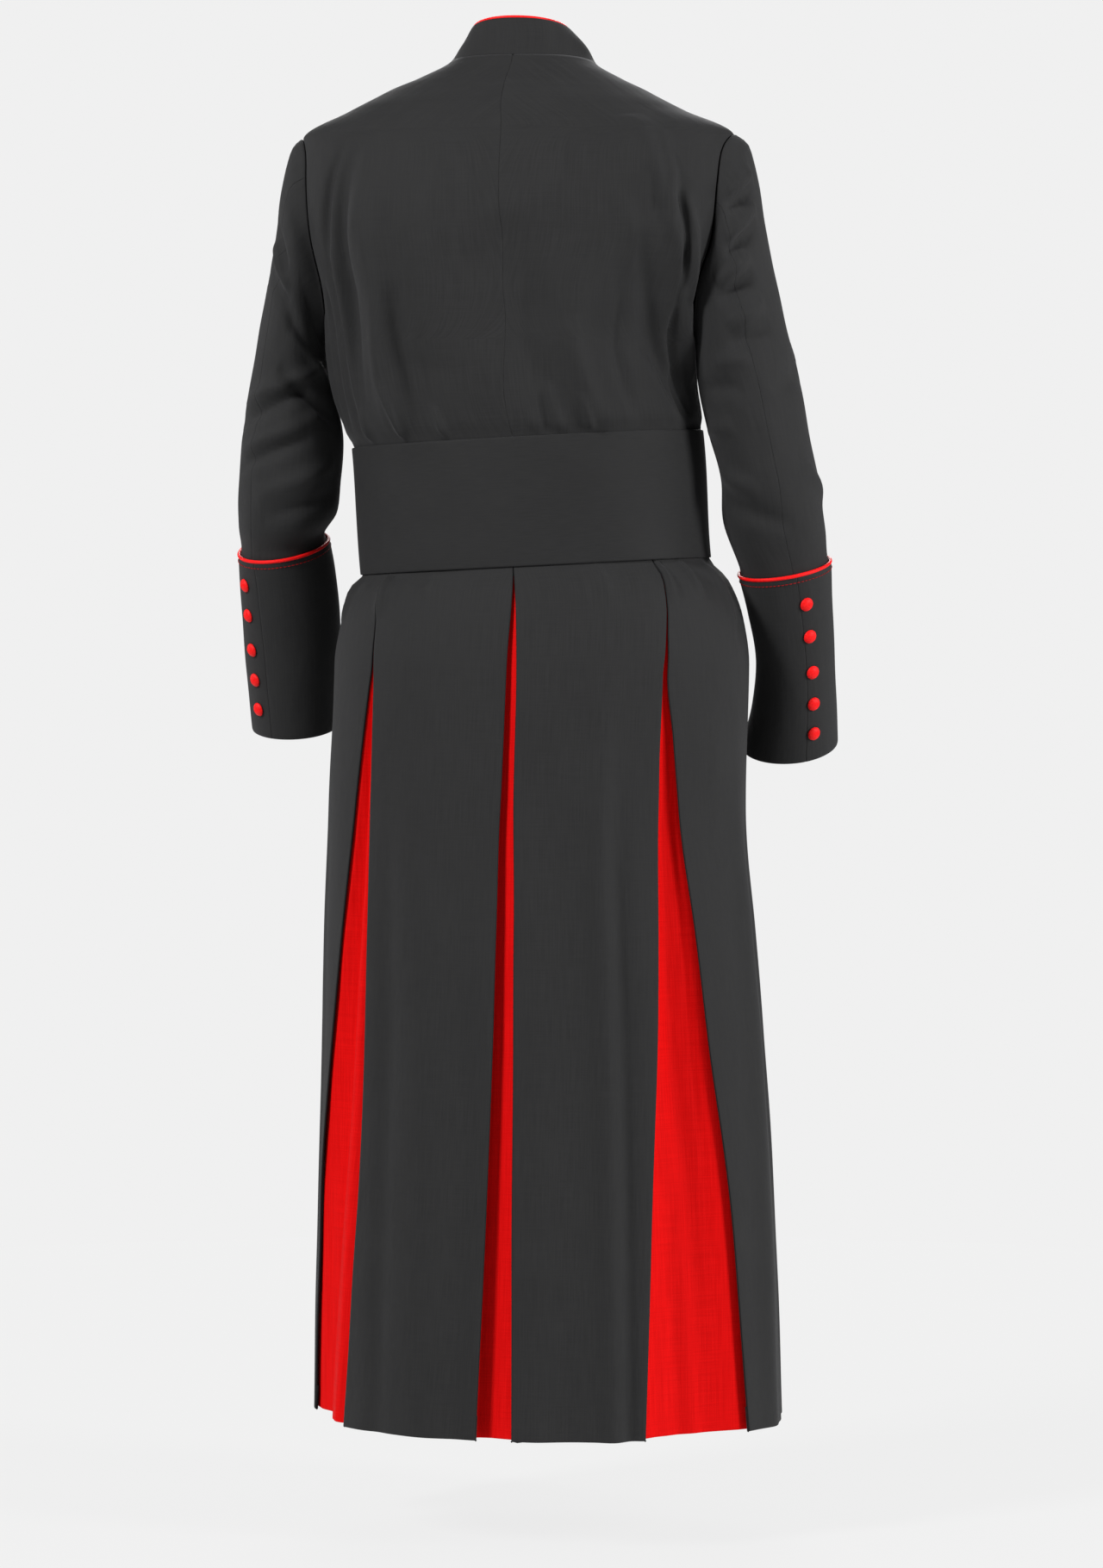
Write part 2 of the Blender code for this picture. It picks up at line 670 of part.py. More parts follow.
def make_cuffs():
    turns = np.linspace(0, 2 * math.pi, CUFF_COLUMNS, endpoint=False)
    for name, side in (("left", 1), ("right", -1)):
        line = SLEEVE_LINES[name]
        around = ordered([t + math.radians(line.back_seam) for t in turns], side)
        rows = [
            [cuff_surface(name, side, t, share, CUFF_LAYER_GAP) for t in around]
            for share in np.linspace(1, 0, CUFF_ROWS)
        ]
        sheet(f"cuff_{name}", rows, CUFF_CLOTH, CHARCOAL, outwards=True, closed=True)
        path = []
        for turn in around:
            middle = cuff_surface(name, side, turn, 0, CUFF_LAYER_GAP + CUFF_CLOTH / 2)
            below = cuff_surface(name, side, turn, 0.1, CUFF_LAYER_GAP + CUFF_CLOTH / 2)
            up = (middle - below) / np.linalg.norm(middle - below)
            path.append(middle + up * (PIPING_RADIUS + PIPING_GAP))
        piping(f"cuff_piping_{name}", path, True)
        make_cuff_buttons(name, side)


# Buttons

def button_mesh():
    """A domed covered button, a profile turned about its axis."""
    mesh = bpy.data.meshes.new("button")
    points = [(x * BUTTON_RADIUS, 0, z * BUTTON_HEIGHT) for x, z in BUTTON_PROFILE]
    edges = [(i, i + 1) for i in range(len(points) - 1)]
    mesh.from_pydata(points, edges, [])
    return mesh


def add_button(name, place, out):
    """A button at a place on the cloth, with its dome facing out."""
    made = add_object(name, button_mesh(), BRIGHT_RED, 0.45)
    turned = made.modifiers.new("turned", "SCREW")
    turned.steps = BUTTON_SIDES
    turned.render_steps = BUTTON_SIDES
    turned.use_merge_vertices = True
    turned.merge_threshold = 0.00001
    turn = Vector(out).to_track_quat("Z", "Y").to_matrix().to_4x4()
    made.matrix_world = Matrix.Translation(Vector(place)) @ turn


def make_cuff_buttons(name, side):
    line = SLEEVE_LINES[name]
    for i in range(CUFF_BUTTONS):
        share = i / (CUFF_BUTTONS - 1)
        turn = math.radians(line.first_button + (line.last_button - line.first_button) * share)
        along = CUFF_BUTTON_FIRST + (CUFF_BUTTON_LAST - CUFF_BUTTON_FIRST) * share
        lift = CUFF_LAYER_GAP + CUFF_CLOTH
        place = cuff_surface(name, side, turn, along, lift)
        aside = cuff_surface(name, side, turn + 0.05, along, lift)
        aside = aside - cuff_surface(name, side, turn - 0.05, along, lift)
        down = cuff_surface(name, side, turn, along + 0.05, lift)
        down = down - cuff_surface(name, side, turn, along - 0.05, lift)
        out = np.cross(down, aside) * side
        out = out / np.linalg.norm(out)
        add_button(f"cuff_button_{name}_{i + 1}", place + out * BUTTON_GAP, out)


def make_front_buttons():
    """A row down the centre front, left out where the waist band lies."""
    z = FRONT_BUTTON_TOP
    number = 0
    while z > FRONT_BUTTON_LOWEST:
        if not BAND_FOOT - 2 * BUTTON_RADIUS < z < BAND_TOP + 2 * BUTTON_RADIUS:
            number += 1
            out = body_normal(CENTRE_FRONT, z)
            place = body_point(CENTRE_FRONT, z, LAP_LIFT + BUTTON_GAP)
            add_button(f"front_button_{number:02d}", place, out)
        z -= FRONT_BUTTON_PITCH


def clear_scene():
    for old in list(bpy.data.objects):
        bpy.data.objects.remove(old)


def make_robe():
    clear_scene()
    bpy.context.scene.collection.children.link(robe)
    make_bodice()
    make_skirt()
    make_pleat_inserts()
    make_collar()
    make_waist_band()
    make_sleeves()
    make_cuffs()
    make_front_buttons()


make_robe()
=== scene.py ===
"""How the clergy robe looks: charcoal suiting, red piping and buttons, red pleat inserts.

Metres, +Z up. The front faces -Y and the robe's own left is +X. The body of the robe is one smooth
surface, a stack of rings. Angle 0 is the centre back, +90 degrees the robe's left side and 180
degrees the centre front. Every cloth piece is a patch of that surface, or of a sleeve's, between
two finished edges, with folds laid over it.
"""

import math
from collections import namedtuple

import bpy
import numpy as np
from mathutils import Matrix, Vector


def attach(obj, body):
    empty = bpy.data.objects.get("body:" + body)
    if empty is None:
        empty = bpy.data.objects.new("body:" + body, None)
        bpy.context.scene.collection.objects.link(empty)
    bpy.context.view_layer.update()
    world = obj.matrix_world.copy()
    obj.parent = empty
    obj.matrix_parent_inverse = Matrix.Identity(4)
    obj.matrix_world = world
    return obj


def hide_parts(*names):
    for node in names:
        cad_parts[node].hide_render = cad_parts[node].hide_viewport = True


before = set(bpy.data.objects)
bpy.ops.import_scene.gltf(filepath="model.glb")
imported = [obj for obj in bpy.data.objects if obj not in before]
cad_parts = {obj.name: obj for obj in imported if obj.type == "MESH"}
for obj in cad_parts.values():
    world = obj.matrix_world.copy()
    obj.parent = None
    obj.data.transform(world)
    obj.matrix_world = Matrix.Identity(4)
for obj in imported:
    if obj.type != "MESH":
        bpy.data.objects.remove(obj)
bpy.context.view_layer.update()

MM = 0.001

# Thicknesses of the cloths, and how far the band and the cuffs stand off
CLOTH = 1.1 * MM
CUFF_CLOTH = 1.6 * MM
COLLAR_CLOTH = 2.2 * MM
BAND_CLOTH = 1.3 * MM
BAND_GAP = 0.9 * MM
CUFF_FACE = 3.2 * MM
CUFF_RADIUS = 48 * MM

# Levels of the robe
HEM = -1450 * MM
WAIST_SEAM = -470 * MM
BAND_TOP = -405 * MM
BAND_FOOT = -541 * MM
UNDERARM = -303 * MM
SHOULDER = -83 * MM
NECK_SEAM = 2 * MM

# Armhole and front lap
ARMHOLE_HALF_DEPTH = 66 * MM
ARMHOLE_POWER = 2.2
ARMHOLE_GAP = 0.25 * MM
ARMHOLE_LIP = 2.0 * MM
LAP = 16 * MM
LAP_RAMP = 12 * MM
LAP_MARGIN = 2 * MM
LAP_LIFT = 2.1 * MM
BAND_LAP_REACH = 55 * MM
SIDE_SEAM = math.radians(90)
SKIRT_SIDE_SEAM = math.radians(100)
CENTRE_FRONT = math.pi

# Pleat inserts
INSERT_DEPTH = 3.4 * MM
INSERT_TUCK = 16 * MM
INSERT_SHORTER = 1.5 * MM
INSERT_TOP = BAND_FOOT - 7 * MM

# Trim
PIPING_RADIUS = 1.9 * MM
PIPING_POINTS = 120
COLLAR_PIPING_SINK = 0.5 * MM
COLLAR_FRONT_GAP = 0.6 * MM
CUFF_PIPING_SINK = 0.8 * MM
CUFF_PIPING_RISE = 0.9 * MM
BUTTON_RADIUS = 7.5 * MM
BUTTON_HEIGHT = 4.6 * MM
CUFF_BUTTONS = 5
FRONT_BUTTON_PITCH = 76 * MM
FRONT_BUTTON_TOP = -75 * MM
FRONT_BUTTON_LOWEST = -960 * MM

# The rings of the body, in millimetres. rise lifts the back of a ring and lowers its front,
# dip lowers its front alone, lean is its slope from side to side and power its squareness.
Ring = namedtuple("Ring", "z half_width half_depth centre_x centre_y rise dip lean power")
RINGS = [
    Ring(-1450, 252, 200, -22, 20, 0, 0, 0, 2.10),
    Ring(-1227, 245, 190, -20, 18, 0, 0, 0, 2.10),
    Ring(-1042, 236, 180, -17, 16, 0, 0, 0, 2.12),
    Ring(-930, 230, 173, -13, 15, 0, 0, 0, 2.15),
    Ring(-800, 223, 162, -9, 13, 0, 0, 0, 2.20),
    Ring(-645, 222.5, 152, -12, 10, 0, 0, 0, 2.25),
    Ring(-600, 216, 147, -11, 6, 0, 0, -0.020, 2.25),
    Ring(-562, 202, 138, -8, 2, 0, 0, -0.040, 2.25),
    Ring(-541, 186.3, 127, -4, 0, 0, 0, -0.050, 2.20),
    Ring(-405, 186, 126.5, 5, 0, 0, 0, -0.050, 2.20),
    Ring(-388, 191, 131, 9, 1, 0, 0, -0.040, 2.20),
    Ring(-350, 194, 135, 17, 2, 0, 0, -0.020, 2.25),
    Ring(-303, 197, 137, 21, 2, 0, 0, 0, 2.35),
    Ring(-256, 208, 137, 17, 3, 0, 0, 0, 2.50),
    Ring(-190, 230, 134, 12, 6, 0, 0, 0, 2.60),
    Ring(-133, 236, 122, 12, 11, 0, 2, 0, 2.45),
    Ring(-83, 232, 103, 12.6, 14, 3, 6, 0, 2.10),
    Ring(-56, 184, 92, 15, 13, 5, 16, 0, 2.00),
    Ring(-39, 154.5, 82, 14.5, 8, 4, 26, 0, 2.00),
    Ring(-30, 140, 78, 14, 4, 3, 34, 0, 2.00),
    Ring(-18, 115.5, 75, 11.5, 0, 1, 42, 0, 2.00),
    Ring(2, 81, 71, 9, -5, -2, 50, 0, 2.00),
    Ring(18, 69, 65, 8.5, -9, 2, 37, 0, 2.00),
    Ring(34.5, 54.5, 60, 12, -12, 6, 24, 0, 2.00),
]
COLLAR_TOP = RINGS[-1].z * MM

# The centre-back seam of the bodice: levels in millimetres and angles in degrees
CENTRE_BACK_LINE = [
    (-470, -0.8), (-394, -0.8), (-303, -2.4), (-242, -0.5), (-163, 0.1), (-91, 0.4), (2, 0.8),
]

# The edges of the three pleats at the back of the skirt: at each level, the angles in degrees
# of the pleat's edge nearer the robe's right and of the one nearer its left, and how deep the
# insert sinks between them, in millimetres.
PleatLevel = namedtuple("PleatLevel", "z right left sink")
PLEATS = {
    "pleat_centre": [
        PleatLevel(-541, 1.0, 1.0, 0),
        PleatLevel(-651, 0.6, 2.6, 5),
        PleatLevel(-765, 0.4, 2.9, 8),
        PleatLevel(-830, 0.3, 3.5, 10),
        PleatLevel(-1042, 1.4, 6.1, 16),
        PleatLevel(-1270, 2.0, 8.4, 20),
        PleatLevel(-1450, 2.0, 10.2, 24),
    ],
    "pleat_left": [
        PleatLevel(-541, 48.5, 48.5, 0),
        PleatLevel(-640, 44.9, 45.4, 1),
        PleatLevel(-673, 44.6, 46.8, 4),
        PleatLevel(-719, 44.6, 49.0, 8),
        PleatLevel(-830, 45.0, 54.4, 14),
        PleatLevel(-1042, 46.5, 68.0, 20),
        PleatLevel(-1200, 47.8, 78.0, 22),
        PleatLevel(-1320, 50.0, 84.0, 23),
        PleatLevel(-1450, 52.6, 88.0, 24),
    ],
    "pleat_right": [
        PleatLevel(-541, -46.0, -46.0, 0),
        PleatLevel(-626, -41.0, -40.1, 1),
        PleatLevel(-655, -40.5, -38.9, 2),
        PleatLevel(-720, -43.3, -38.8, 6),
        PleatLevel(-790, -46.3, -39.2, 10),
        PleatLevel(-920, -50.2, -37.6, 14),
        PleatLevel(-1042, -52.8, -35.4, 18),
        PleatLevel(-1211, -58.5, -32.4, 22),
        PleatLevel(-1450, -63.4, -29.4, 26),
    ],
}

# How an insert's depth is shared across its pleat, from the pleat's right edge (0) to the left
# one (1), as shares of the sink above.
INSERT_SHAPES = {
    "pleat_centre": [(-0.6, 0.15), (0, 0.2), (0.3, 0.35), (0.7, 0.6), (1.0, 0.5), (1.6, 0.25)],
    "pleat_left": [
        (-0.2, 0.6), (0, 0.5), (0.2, 0.1), (0.34, 0.22), (0.6, 1.0), (0.85, 0.5), (1.0, 0.1), (1.2, 0),
    ],
    "pleat_right": [(-0.2, 0.2), (0, 0.3), (0.25, 0.8), (0.6, 1.0), (0.85, 0.7), (1.0, 0.3), (1.2, 0.1)],
}

# The sections of the sleeves below the armhole, in millimetres, with x counted outwards from
# the middle of the body: the outer edge, the inner edge, the place of the middle from front to
# back, half the depth there, and how far the back of the section hangs below its middle.
Section = namedtuple("Section", "outer_x outer_z inner_x inner_z mid_y half_depth droop")
SLEEVES = {
    "left": [
        Section(258, -97, 221.5, -306, 8, 70, 0),
        Section(268, -132, 221.0, -312, 7, 71, 0),
        Section(274, -180, 220.0, -320, 6, 70, 2),
        Section(284, -235, 218.0, -331, 6, 69, 2),
        Section(294, -290, 215.0, -346, 7, 67, 2),
        Section(303, -340, 210.5, -366, 9, 65, 2),
        Section(312, -398, 204.0, -404, 11, 62, 3),
        Section(317, -450, 207.5, -448, 9, 60, 6),
        Section(319, -494, 213.0, -484, 0, 57, 11),
        Section(318, -516, 228.5, -506, -9, 49, 14),
        Section(319, -526, 227.0, -516, -13, 50, 15),
        Section(320, -560, 223.0, -549, -27, 48, 16),
        Section(321, -618, 222.0, -608, -51, 46, 16),
        Section(321, -668, 226.0, -662, -72, 46, 15),
        Section(320, -717, 230.0, -716, -92, 47, 13),
    ],
    "right": [
        Section(234, -97, 178.5, -306, 8, 70, 0),
        Section(243, -132, 178.5, -312, 7, 71, 0),
        Section(251, -180, 178.5, -320, 6, 70, 2),
        Section(262, -235, 179.0, -331, 6, 69, 2),
        Section(275, -290, 180.5, -346, 7, 67, 2),
        Section(288, -340, 184.0, -366, 9, 65, 2),
        Section(299, -398, 192.5, -398, 11, 62, 3),
        Section(309, -452, 205.5, -448, 9, 60, 6),
        Section(315, -500, 207.0, -494, -1, 57, 9),
        Section(316, -527, 222.5, -539, -10, 51, 10),
        Section(317, -537, 224.5, -549, -14, 51, 11),
        Section(317, -575, 232.5, -585, -29, 48, 14),
        Section(317, -634, 239.0, -640, -53, 45, 17),
        Section(317, -686, 232.0, -690, -74, 46, 18),
        Section(317, -733, 218.0, -735, -94, 47, 19),
    ],
}
CUFF_FIRST_SECTION = 10
CUFF_SPANS = 4

# The seams of each sleeve, and where the first and last cuff buttons lie, as angles round the
# section, from its outer edge (0) towards the back (90), in degrees.
SleeveLine = namedtuple("SleeveLine", "back_seam front_seam first_button last_button")
SLEEVE_LINES = {
    "left": SleeveLine(54, -126, 40, 49),
    "right": SleeveLine(72, -108, 60, 56),
}
CUFF_BUTTON_FIRST = 0.19
CUFF_BUTTON_LAST = 0.84
# The seam of each cuff, as an angle at its upper edge and one at its end
CUFF_SEAMS = {"left": (61, 68), "right": (68.5, 64.5)}
SIDES = {"left": 1, "right": -1}

# Folds of the body: a straight line from one place to another, the half width of the fold and
# its height, negative for a trough. Angles in degrees, the rest in millimetres.
Fold = namedtuple("Fold", "angle0 z0 angle1 z1 half_width height")
FOLDS = [
    Fold(-36, -70, -40, -165, 16, 4),
    Fold(-40, -150, -84, -350, 13, 6),
    Fold(-32, -190, -72, -395, 16, -5),
    Fold(13, -95, 18, -330, 22, 3.5),
    Fold(1, -170, -14, -402, 15, -4.5),
    Fold(-14, -190, -28, -402, 16, 3),
    Fold(41, -85, 52, -380, 13, -5),
    Fold(32, -120, 38, -400, 20, 4),
    Fold(27, -240, 26, -402, 12, -3),
    Fold(150, -130, 140, -380, 20, -3),
    Fold(-150, -150, -128, -390, 20, -4),
    Fold(122, -140, 108, -350, 18, -4),
    Fold(-125, -120, -112, -330, 18, -4),
    Fold(-21, -600, -21, -1450, 12, 3.5),
    Fold(142, -620, 148, -1450, 16, 2.5),
    Fold(-150, -620, -146, -1450, 16, 2.5),
    Fold(-118, -640, -122, -1450, 16, 2),
]

# Smaller creases of the body, in the same terms
CREASES = [
    Fold(-44.5, -84, -44, -200, 6, 2.2),
    Fold(-36, -120, -38.5, -180, 5, -2.4),
    Fold(-43, -165, -72, -300, 5, -3.0),
    Fold(-62, -230, -85, -345, 6, -3.0),
    Fold(-46, -145, -60, -265, 5, -4.5),
    Fold(-50, -150, -65, -262, 7, 2.8),
    Fold(-59, -255, -76, -388, 5, -4.5),
    Fold(-65, -262, -80, -350, 7, 2.6),
    Fold(47, -88, 56, -235, 6, -3.2),
    Fold(55, -215, 59, -395, 6, -3.2),
    Fold(-54, -200, -58, -250, 5, 1.5),
    Fold(-24, -190, -46, -330, 9, -1.6),
    Fold(-52, -320, -64, -398, 8, 2.0),
    Fold(-66, -330, -72, -398, 5, -2.2),
    Fold(36, -140, 45, -250, 10, 1.6),
    Fold(52, -200, 58, -370, 8, 2.4),
    Fold(64, -240, 67, -390, 6, -2.6),
    Fold(74, -270, 75, -385, 7, 2.2),
    Fold(33, -250, 40, -395, 8, 1.8),
    Fold(6, -110, 4, -215, 6, 1.6),
    Fold(-11, -110, -13, -190, 12, 1.4),
    Fold(-20, -280, -30, -395, 9, 1.8),
    Fold(-33, -250, -44, -400, 7, -2.0),
    Fold(-28, -150, -34, -240, 8, 1.6),
    Fold(34, -425, 36.5, -345, 4.5, 3.0),
    Fold(18.5, -425, 20, -368, 4.0, 2.6),
    Fold(-15.4, -425, -14, -350, 5.0, 3.2),
    Fold(-26.2, -425, -24, -362, 4.0, 2.8),
    Fold(-8, -425, -8, -378, 4.0, 1.6),
    Fold(52, -425, 54, -365, 5.0, 2.6),
    Fold(48.3, -520, 46, -590, 5.0, 3.2),
    Fold(-47.9, -520, -46, -585, 5.0, 3.2),
    Fold(-58.3, -520, -60, -580, 5.0, 3.0),
    Fold(26, -520, 27, -570, 6.0, 1.8),
    Fold(-24, -520, -23, -580, 6.0, 2.0),
    Fold(72, -520, 74, -600, 8.0, 2.6),
    Fold(-74, -520, -78, -610, 8.0, 2.6),
    Fold(24, -700, 25, -1450, 26, 1.8),
    Fold(36, -720, 39, -1450, 14, -1.6),
    Fold(14, -760, 16, -1450, 16, -1.3),
    Fold(-12, -760, -11, -1450, 18, -1.8),
    Fold(-27, -700, -26, -1450, 9, -2.2),
    Fold(-4, -900, -3, -1450, 12, 1.2),
    Fold(-78, -660, -76, -1450, 20, 3.0),
    Fold(-92, -700, -94, -1450, 16, -3.0),
    Fold(88, -640, 92, -1450, 18, 3.0),
    Fold(112, -700, 114, -1450, 20, -3.0),
    Fold(128, -660, 130, -1450, 18, 2.6),
    Fold(-134, -700, -135, -1450, 20, -3.0),
    Fold(164, -700, 166, -1450, 18, -2.4),
    Fold(-168, -760, -166, -1450, 18, 2.0),
    Fold(134, -120, 120, -300, 10, 2.2),
    Fold(160, -90, 150, -260, 10, -1.8),
    Fold(-140, -110, -124, -300, 10, 2.2),
    Fold(-162, -100, -150, -280, 12, -1.8),
    Fold(150, -425, 148, -350, 6, 2.4),
    Fold(118, -425, 116, -360, 6, 2.4),
    Fold(-146, -425, -144, -350, 6, 2.6),
    Fold(-112, -425, -112, -365, 6, 2.4),
    Fold(100, -250, 98, -395, 9, -1.2),
]

# Creases of the sleeves, with angles round the sleeve as in SLEEVE_LINES
SLEEVE_CREASES = {
    "left": [
        Fold(20, -165, 80, -228, 7, -4.5),
        Fold(30, -190, 85, -250, 6, 3.0),
        Fold(25, -215, 90, -262, 6, -3.0),
        Fold(60, -140, 110, -215, 8, -3.0),
        Fold(70, -250, 140, -330, 9, -3.0),
        Fold(95, -290, 165, -345, 7, 3.0),
        Fold(80, -330, 170, -392, 8, -4.0),
        Fold(20, -368, 150, -330, 8, 3.4),
        Fold(10, -392, 130, -352, 8, -4.0),
        Fold(30, -420, 140, -380, 8, 3.0),
        Fold(25, -436, 125, -404, 7, -3.2),
        Fold(60, -470, 160, -430, 9, 2.6),
        Fold(70, -492, 165, -462, 8, -2.6),
        Fold(-20, -200, 15, -240, 9, -2.4),
        Fold(-70, -250, -20, -330, 12, 2.6),
        Fold(-110, -380, -20, -420, 10, -4.0),
        Fold(-120, -410, -30, -445, 9, 3.2),
        Fold(-130, -350, -60, -380, 9, -3.4),
        Fold(-60, -150, -110, -240, 10, -2.6),
        Fold(190, -350, 215, -440, 9, -2.6),
    ],
    "right": [
        Fold(64, -150, 18, -122, 6, 4.2),
        Fold(70, -166, 20, -138, 6, -4.6),
        Fold(76, -198, 24, -158, 7, 4.4),
        Fold(80, -214, 28, -178, 6, -4.8),
        Fold(96, -244, 48, -212, 8, 4.2),
        Fold(100, -262, 46, -232, 7, -4.6),
        Fold(92, -290, 40, -260, 8, 3.4),
        Fold(96, -312, 40, -286, 9, -3.4),
        Fold(120, -330, 75, -318, 9, 2.6),
        Fold(150, -352, 90, -352, 9, -3.0),
        Fold(165, -400, 110, -392, 8, 2.4),
        Fold(60, -355, -10, -330, 12, -2.4),
        Fold(40, -430, -20, -470, 10, 2.4),
        Fold(150, -470, 60, -500, 11, -3.0),
        Fold(160, -440, 95, -462, 10, 2.6),
        Fold(-70, -240, -20, -330, 12, 2.6),
        Fold(-110, -380, -20, -430, 10, -4.0),
        Fold(-120, -414, -30, -452, 9, 3.2),
        Fold(-130, -350, -60, -380, 9, -3.4),
        Fold(-60, -150, -110, -240, 10, -2.6),
    ],
}

# How far aside a fold reaches, in half widths, and how bluntly its ends fade
FOLD_REACH = 3.0
FOLD_FADE = 0.7
FOLD_STRENGTH = 2.4
CREASE_STRENGTH = 2.2
SLEEVE_CREASE_STRENGTH = 1.9
SLEEVE_ROLL = 1.3 * MM
SLEEVE_ROLL_PLACE = 11 * MM
SLEEVE_ROLL_WIDTH = 7 * MM

# The band holds creases flat this far past its edges, and they grow over the next stretch
BAND_HOLD = 1.5 * MM
BAND_RELEASE = 9 * MM

# A finished edge: distances in from the edge line and lifts from the surface, in millimetres.
# A seam's allowance is turned straight in. A folded edge goes round and back under the cloth.
# Near a finished edge, and along the collar's foot, the suiting's colour is darkened by painted shade.
SEAM_EDGE = [(0.10, -5.0), (0.10, -2.2), (0.14, -1.2), (0.40, -0.55), (1.0, -0.20), (2.2, -0.04)]
FINE_SEAM = [(0.03, -3.0), (0.03, -1.0), (0.08, -0.30), (0.45, -0.09), (1.5, -0.02)]
FOLDED_EDGE = [
    (12, -2.4), (6, -2.4), (1.6, -2.4), (0.5, -2.2), (0.1, -1.7), (0.0, -1.2),
    (0.1, -0.7), (0.5, -0.22), (1.6, 0.0),
]
HEM_EDGE = [
    (26, -2.4), (14, -2.4), (5, -2.4), (1.4, -2.4), (0.5, -2.2), (0.1, -1.7), (0.0, -1.2),
    (0.1, -0.7), (0.5, -0.22), (1.4, 0.0),
]
RAW_EDGE = [(0.10, 0.0), (1.0, 0.0)]
PLAIN_END = [(0, 0.0)]
COLLAR_TOP_EDGE = [(0.0, -1.1), (0.15, -0.6), (0.6, -0.22), (1.5, -0.04)]
COLLAR_FOOT_EDGE = [(-1.5, -0.06), (-0.5, -0.04), (0.5, -0.02), (1.5, 0.0)]
BAND_EDGE = [(0.0, -0.9), (0.3, -0.35), (1.0, -0.05), (2.5, 0.0)]

# A cuff, as distances from its end or its upper edge. Inside the wrist the lifts are from the
# sleeve, and round the outside they are from the cuff's face.
CUFF_INSIDE = [(24, -2.2), (16, -2.2), (8, -2.2), (3, -2.2), (1.0, -2.0), (0.3, -0.9)]
CUFF_ROLL = [(0.3, -1.5), (1.0, -0.5), (2.4, -0.1)]
CUFF_RIM = [(1.2, -0.05), (0.5, -0.25), (0.1, -0.7), (0.0, -1.3)]

# How far in from its edges a patch's plain rows and columns begin, the edge distance of cloth
# far from any edge, how near a fine seam its thin line of painted shade reaches, and the lift
# under which an edge is turned in and takes the full painted shade
EDGE_DEPTH = 4.0
FAR = 9.0
PAINTED_SEAM_SHADE_REACH = 0.05
TURNED_IN = -0.3 * MM

# Small steps for slopes along the surfaces, and mean radii in millimetres
TURN_STEP = 0.01
LEVEL_STEP = 2 * MM
SLEEVE_TURN_STEP = 0.03
SLEEVE_LEVEL_STEP = 3 * MM
SLEEVE_MEAN_RADIUS = 58.0
SLEEVE_BACK_TURN = math.radians(140)
BAND_MEAN_RADIUS = 160

# Distances between the rows and columns of the meshes, in millimetres, or how many there are.
# BODICE_ROWS counts those below, beside and above the armhole.
COLUMN_PITCH = 4.0
ROW_PITCH = 5.0
BACK_COLUMN_PITCH = 3.0
SKIRT_ROW_PITCH = 7.5
INSERT_PITCH = (3.0, 7.0)
COLLAR_PITCH = (3.0, 2.2)
BODICE_ROWS = (36, 49, 66)
SLEEVE_ROW_PITCH = 4.5
SLEEVE_SAMPLES = 12
BAND_ROWS = 26
BAND_COLUMNS = 260
CUFF_SEAM_REACH = 0.06
CUFF_ROWS = 44
CUFF_COLUMNS = 94

# Buttons: a profile from the crown to the base, as shares of the radius and of the height
BUTTON_PROFILE = [
    (0.16, 0.992), (0.34, 0.95), (0.52, 0.87), (0.68, 0.75), (0.82, 0.58), (0.93, 0.40),
    (0.985, 0.26), (1.0, 0.16), (0.98, 0.08), (0.93, 0.03), (0.84, 0.0), (0.5, 0.0),
]
BUTTON_SIDES = 40
BUTTON_GATHERS = 10
GATHER_DEPTH = 0.012
GATHER_START = 0.75
GATHER_SPREAD = 0.2
BUTTON_SPIN = 0.7
BUTTON_SEAT = 0.15 * MM

# Cords: how narrow an open end is, and a way that no path runs along
CORD_END = 0.45
STEEP_WAY = (0.3, 0.2, 0.93)

# Cuff stitches: each one's start and end as shares of its room, and its lifts off the cuff
STITCHES = 72
STITCH_SPAN = (0.06, 0.90)
STITCH_LIFTS = (-0.25, 0.22, 0.28, 0.22, -0.25)
STITCH_RADIUS = 0.62 * MM
STITCH_PLACE = 6.0 * MM


def curve_through(places, values):
    """A smooth function through the values at rising places that never overshoots them."""
    places = np.asarray(places, float)
    values = np.asarray(values, float)
    steps = np.diff(places)
    slopes = np.diff(values) / steps
    tangents = np.zeros(len(values))
    tangents[0] = slopes[0]
    tangents[-1] = slopes[-1]
    for i in range(1, len(values) - 1):
        if slopes[i - 1] * slopes[i] > 0:
            before = 2 * steps[i] + steps[i - 1]
            after = steps[i] + 2 * steps[i - 1]
            tangents[i] = (before + after) / (before / slopes[i - 1] + after / slopes[i])

    def at(place):
        place = np.clip(np.asarray(place, float), places[0], places[-1])
        i = np.clip(np.searchsorted(places, place) - 1, 0, len(steps) - 1)
        t = (place - places[i]) / steps[i]
        start = (1 + 2 * t) * (1 - t) ** 2 * values[i] + t * (1 - t) ** 2 * steps[i] * tangents[i]
        end = t * t * (3 - 2 * t) * values[i + 1] - t * t * (1 - t) * steps[i] * tangents[i + 1]
        return start + end

    return at


def ease(t):
    """A smooth step from 0 to 1."""
    t = np.clip(t, 0.0, 1.0)
    return t * t * (3 - 2 * t)


def signed_power(value, power):
    return np.sign(value) * np.abs(value) ** power


RING_AT = {
    field: curve_through([r.z for r in RINGS], [getattr(r, field) for r in RINGS])
    for field in Ring._fields[1:]
}
CENTRE_BACK_AT = curve_through(*zip(*CENTRE_BACK_LINE))


def ring_value(field, z):
    return RING_AT[field](np.asarray(z) / MM)


# The body's surface

